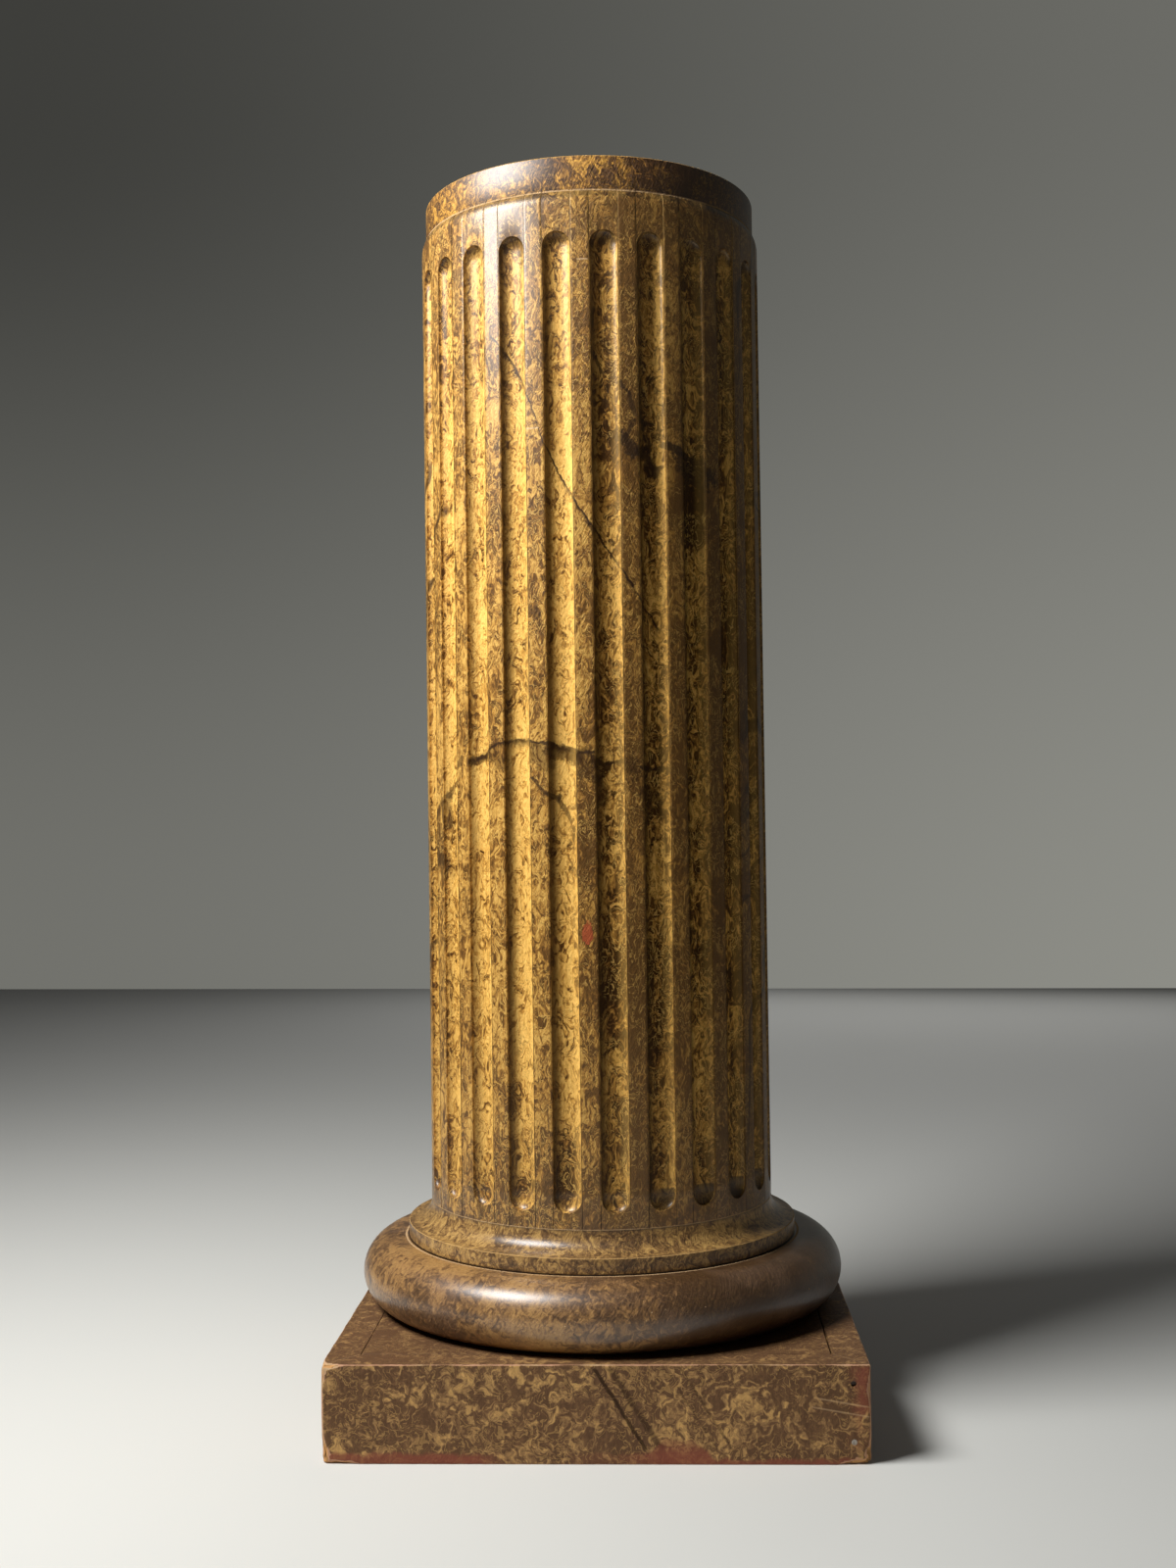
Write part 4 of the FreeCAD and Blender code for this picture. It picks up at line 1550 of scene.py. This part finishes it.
@dataclass
class Plinth:
    """Four mitred boards, nailed at the corners round a panel, with knocked arrises."""

    levels: Levels
    board: float = 28.0 * MM
    panel: float = 20.0 * MM
    gap: float = 0.4 * MM
    grid: float = 4.0 * MM
    edge_steps: tuple[float, ...] = (0.45, 1.0, 1.7, 2.6, 3.8, 5.4, 7.5)
    round_top: float = 1.5 * MM
    round_corner: float = 2.4 * MM
    round_foot: float = 1.1 * MM
    nail_inset: float = 14.0 * MM
    nail_heights: tuple[float, ...] = (18.0 * MM, 64.5 * MM)
    nail_depths: tuple[float, ...] = (0.45 * MM, 2.6 * MM)
    nail_radius: float = 2.35 * MM
    nail_sides: int = 24
    rung: float = 10 * MM
    inner_cuts: tuple[float, ...] = (12 * MM, 18 * MM)
    mitre_slack: float = 0.02 * MM
    panel_gap: float = 0.4 * MM
    panel_arris: float = 0.4 * MM
    fade: float = 10 * MM
    fade_run: float = 6 * MM
    least_round: float = 0.3 * MM
    worn_full: float = 0.4 * MM
    bare_from: float = 0.9 * MM
    bare_run: float = 0.8 * MM
    chips: tuple[Chip, ...] = (
        Chip((-0.219, -0.222, 0.08), 0.014, 0.005),
        Chip((-0.21, -0.222, 0.0), 0.02, 0.004),
        Chip((-0.222, -0.222, 0.01), 0.012, 0.005),
        Chip((0.216, -0.222, 0.0), 0.022, 0.006),
        Chip((0.222, -0.222, 0.06), 0.012, 0.003),
        Chip((0.222, 0.1, 0.08), 0.012, 0.003),
        Chip((0.05, 0.222, 0.08), 0.016, 0.0035),
        Chip((-0.222, 0.16, 0.0), 0.02, 0.004),
        Chip((0.215, 0.222, 0.08), 0.014, 0.004),
    )

    def build(self, paint: bpy.types.Material) -> list[bpy.types.Object]:
        """Builds the boards and the panel."""
        made = []
        for quarter, side in enumerate(("front", "right", "back", "left")):
            mesh = self.mitred_board()
            turn_about(mesh, math.pi / 2 * quarter)
            self.knock_about(mesh)
            made.append(to_object(mesh, f"painted_{side}_board", paint, f"plinth_{side}_board", 0.9))
        made.append(to_object(self.top_panel(), "painted_top_panel", paint, "plinth_top_panel"))
        return made

    def mitred_board(self) -> bmesh.types.BMesh:
        """The front board, mitred at both ends, with its nail holes and cut fine enough for its wear."""
        at = self.levels
        length = 2 * at.plinth_half
        mesh = block((length, self.board, at.plinth_top), (0, self.board / 2 - at.plinth_half, at.plinth_top / 2))
        for side in (-1, 1):
            corner = (side * (at.plinth_half - self.mitre_slack), -at.plinth_half, 0)
            bisect(mesh, corner, (side, 1, 0), clear_outer=True)
            close_up(mesh)
        steps = [step * MM for step in self.edge_steps]
        for height in (*steps, *(at.plinth_top - step for step in steps), *self.rungs(at.plinth_top, self.rung)):
            bisect(mesh, (0, 0, height), (0, 0, 1))
        for depth in (*steps, *self.inner_cuts):
            bisect(mesh, (0, depth - at.plinth_half, 0), (0, 1, 0))
        for along in (*steps, *(length - step for step in steps), *self.rungs(length, self.grid)):
            bisect(mesh, (along - at.plinth_half, 0, 0), (1, 0, 0))
        for height, depth in zip(self.nail_heights, self.nail_depths):
            drill = bmesh.new()
            radii = {"radius1": self.nail_radius, "radius2": self.nail_radius}
            bmesh.ops.create_cone(drill, cap_ends=True, segments=self.nail_sides, depth=2 * depth, **radii)
            turn_about(drill, math.pi / 2, "X")
            shift(drill, (at.plinth_half - self.nail_inset, -at.plinth_half, height))
            mesh = cut_away(mesh, drill)
        return mesh

    @staticmethod
    def rungs(length: float, step: float) -> list[float]:
        """Even cuts along a length, clear of both ends."""
        count = round(length / step)
        cuts = [length * index / count for index in range(1, count)]
        return [cut for cut in cuts if END_CLEAR < cut < length - END_CLEAR]

    def roundness(self, point: Vector) -> float:
        """How much the arris nearest a point is rounded there."""
        top = self.levels.plinth_top
        high = min(1.0, max(0.0, (point.z - top + self.fade) / self.fade_run))
        low = min(1.0, max(0.0, (self.fade - point.z) / self.fade_run))
        amount = self.round_corner * (1 - high) * (1 - low) + self.round_top * high + self.round_foot * low
        amount *= 1.0 + 0.55 * noise.noise(point * 45.0) + 0.3 * noise.noise(point * 170.0)
        for chip in self.chips:
            away = (point - Vector(chip.place)).length / chip.spread
            if away < 1.0:
                ragged = 1.0 + 0.5 * noise.noise(point * 260.0)
                amount += chip.depth * (1 - away * away) * ragged
        return max(amount, self.least_round)

    def knock_about(self, mesh: bmesh.types.BMesh) -> None:
        """Rounds the outer arrises unevenly, and marks where the paint is worn and where the wood is bare."""
        at = self.levels
        worn = mesh.verts.layers.float.new("arris")
        bare = mesh.verts.layers.float.new("bare")
        for vertex in mesh.verts:
            point = vertex.co.copy()
            amount = self.roundness(point)
            edge = at.plinth_half - amount
            excess = Vector((
                math.copysign(max(abs(point.x) - edge, 0.0), point.x),
                math.copysign(max(abs(point.y) - edge, 0.0), point.y),
                max(point.z - at.plinth_top + amount, 0.0) - max(amount - point.z, 0.0),
            ))
            if excess.length > amount:
                vertex.co = point - excess + excess.normalized() * amount
                moved = (vertex.co - point).length
                vertex[worn] = min(1.0, moved / self.worn_full)
                vertex[bare] = min(1.0, max(0.0, moved - self.bare_from) / self.bare_run)

    def top_panel(self) -> bmesh.types.BMesh:
        """The panel, let in flush, with its joint open on the right."""
        at = self.levels
        side = 2 * (at.plinth_half - self.board - self.gap)
        centre = (-self.panel_gap, 0, at.plinth_top - self.panel / 2)
        mesh = block((side - 2 * self.panel_gap, side, self.panel), centre)
        rims = [edge for edge in mesh.edges if all(v.co.z > at.plinth_top - 1e-5 for v in edge.verts)]
        ease(mesh, rims, self.panel_arris, 1)
        return mesh


# ---------------------------------------------------------------- studio


@dataclass(frozen=True)
class Lamp:
    """A soft rectangular lamp: its place, what it points at, its size and power, and whether a gloss mirrors it."""

    name: str
    place: Place
    aim: Place
    size: Point
    power: float
    mirrored: bool = True

    def build(self) -> None:
        """Adds the lamp, which the camera doesn't see."""
        light = bpy.data.lights.new(self.name, "AREA")
        light.shape = "RECTANGLE"
        light.size, light.size_y = self.size
        light.energy = self.power
        made = bpy.data.objects.new(self.name, light)
        made.location = self.place
        made.rotation_euler = (Vector(self.aim) - Vector(self.place)).to_track_quat("-Z", "Y").to_euler()
        made.visible_camera = False
        made.visible_glossy = self.mirrored
        bpy.context.scene.collection.objects.link(made)


@dataclass
class Studio:
    """Camera, soft light, floor and backdrop."""

    camera_place: tuple[float, float, float] = (0.0591, -1.6467, 0.5152)
    camera_heading: float = 0.04053
    camera_pitch: float = 0.02316
    camera_roll: float = -0.01299
    lens: float = 40.31
    wall_distance: float = 3.85
    room_turn: float = -5.0
    fill: float = 0.022
    floor_colour: Colour = (0.72, 0.72, 0.68)
    wall_colour: Colour = (0.5, 0.5, 0.48)
    matt: float = 0.8
    glow_colour: Colour = (1.0, 1.0, 0.9)
    glow_least: float = 0.048
    glow_across: float = 0.11
    glow_down: float = 0.12
    glow_mirrored: float = 0.55
    lamps: tuple[Lamp, ...] = (
        Lamp("key", (-0.95, -0.6, 1.62), (0, 0, 0.65), (0.75, 0.62), 44.0),
        Lamp("back", (0.8, 3.6, 1.3), (0, 0, 0.55), (2.6, 1.4), 15.0, mirrored=False),
    )

    def build(self) -> None:
        """Sets up everything that isn't the column."""
        self.camera()
        self.floor_and_wall()
        for lamp in self.lamps:
            lamp.build()
        self.world()
        bpy.context.scene.view_settings.view_transform = "Standard"

    def camera(self) -> None:
        """Puts the camera where the photograph was taken from."""
        heading, pitch, roll = self.camera_heading, self.camera_pitch, self.camera_roll
        forward = Vector((-math.sin(heading) * math.cos(pitch), math.cos(heading) * math.cos(pitch), math.sin(pitch)))
        right = Vector((math.cos(heading), math.sin(heading), 0.0))
        up = right.cross(forward)
        level_right = math.cos(roll) * right + math.sin(roll) * up
        level_up = math.cos(roll) * up - math.sin(roll) * right
        made = bpy.data.objects.new("camera", bpy.data.cameras.new("camera"))
        facing = Matrix((level_right, level_up, -forward)).transposed().to_4x4()
        made.matrix_world = Matrix.Translation(self.camera_place) @ facing
        made.data.lens = self.lens
        made.data.clip_start = 0.05
        bpy.context.scene.collection.objects.link(made)
        bpy.context.scene.camera = made

    def world(self) -> None:
        """An even grey world for fill."""
        made = bpy.data.worlds.new("studio")
        made.use_nodes = True
        inputs = {"Color": (1.0, 1.0, 1.0), "Strength": self.fill}
        Graph(made.node_tree).shader("ShaderNodeBackground", inputs, "ShaderNodeOutputWorld")
        bpy.context.scene.world = made

    def floor_and_wall(self) -> None:
        """A plain pale floor, and a wall on every side that glows with painted light, brighter to the right and lower
        down; they light nothing but the view.
        """
        floor = bmesh.new()
        bmesh.ops.create_grid(floor, x_segments=1, y_segments=1, size=self.wall_distance)
        self.plain(floor, "floor", self.floor_colour)
        wall = bmesh.new()
        bmesh.ops.create_cube(wall, size=2 * self.wall_distance)
        shift(wall, (0, 0, self.wall_distance - MM))
        level = [face for face in wall.faces if abs(face.normal.z) > 0.5]
        bmesh.ops.delete(wall, geom=level, context="FACES")
        bmesh.ops.reverse_faces(wall, faces=wall.faces)
        made = self.plain(wall, "backdrop", self.wall_colour)
        graph = Graph(made.data.materials[0].node_tree)
        across, _, height = graph.axes(graph.place())
        # painted light: the wall glows brighter towards the right and lower down
        down = height.step(2.9, 0.0) * self.glow_down + self.glow_least
        light = across.step(-2.2, 2.6) * self.glow_across + down
        rays = graph.values(graph.node("ShaderNodeLightPath"))
        seen = rays["Is Camera Ray"].larger(rays["Is Glossy Ray"] * self.glow_mirrored)
        graph.shader("ShaderNodeEmission", {"Color": self.glow_colour, "Strength": light * seen})
        made.visible_diffuse = False
        made.visible_shadow = False

    def plain(self, mesh: bmesh.types.BMesh, name: str, colour: Colour) -> bpy.types.Object:
        """A stage piece in one matt colour, turned with the room."""
        turn_about(mesh, math.radians(self.room_turn))
        material = bpy.data.materials.new(name)
        material.use_nodes = True
        shader = material.node_tree.nodes["Principled BSDF"]
        shader.inputs["Base Color"].default_value = (*colour, 1.0)
        shader.inputs["Roughness"].default_value = self.matt
        made = to_object(mesh, name, material)
        return made


# ---------------------------------------------------------------- main


def dress_hidden_work(nodes: dict[str, bpy.types.Object], shop: PaintShop) -> None:
    """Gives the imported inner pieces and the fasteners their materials.

    Args:
        nodes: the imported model's nodes by name.
        shop: the shared node groups.
    """
    wood, iron = BareWood().material(shop), DullIron().material()
    finishes = {"lower_former": wood, "corner_glue_blocks": wood, "wood_screws": iron, "plinth_nails": iron}
    for name, material in finishes.items():
        nodes[name].data.materials.clear()
        nodes[name].data.materials.append(material)
        LOG.info("%s keeps its packed shape", name)


def clear_scene() -> None:
    """Removes what Blender starts with."""
    for thing in list(bpy.data.objects):
        bpy.data.objects.remove(thing)


def main() -> None:
    """Builds the column and the studio."""
    logging.basicConfig(level=logging.INFO, format="%(name)s: %(message)s")
    clear_scene()
    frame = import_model()
    levels = Levels.measured(frame["nodes"])
    shop = PaintShop()
    pieces = [
        Cap(levels).build(CAP_FINISH.material(shop)),
        *Shaft(levels).build(SHAFT_FINISH.material(shop)),
        Foot(levels).build(FOOT_FINISH.material(shop)),
        Torus(levels).build(TORUS_FINISH.material(shop)),
        *Plinth(levels).build(PLINTH_FINISH.material(shop)),
    ]
    for piece in pieces:
        LOG.info("%s: %d faces", piece.name, len(piece.data.polygons))
    dress_hidden_work(frame["nodes"], shop)
    Studio().build()


if __name__ == "__main__":
    main()
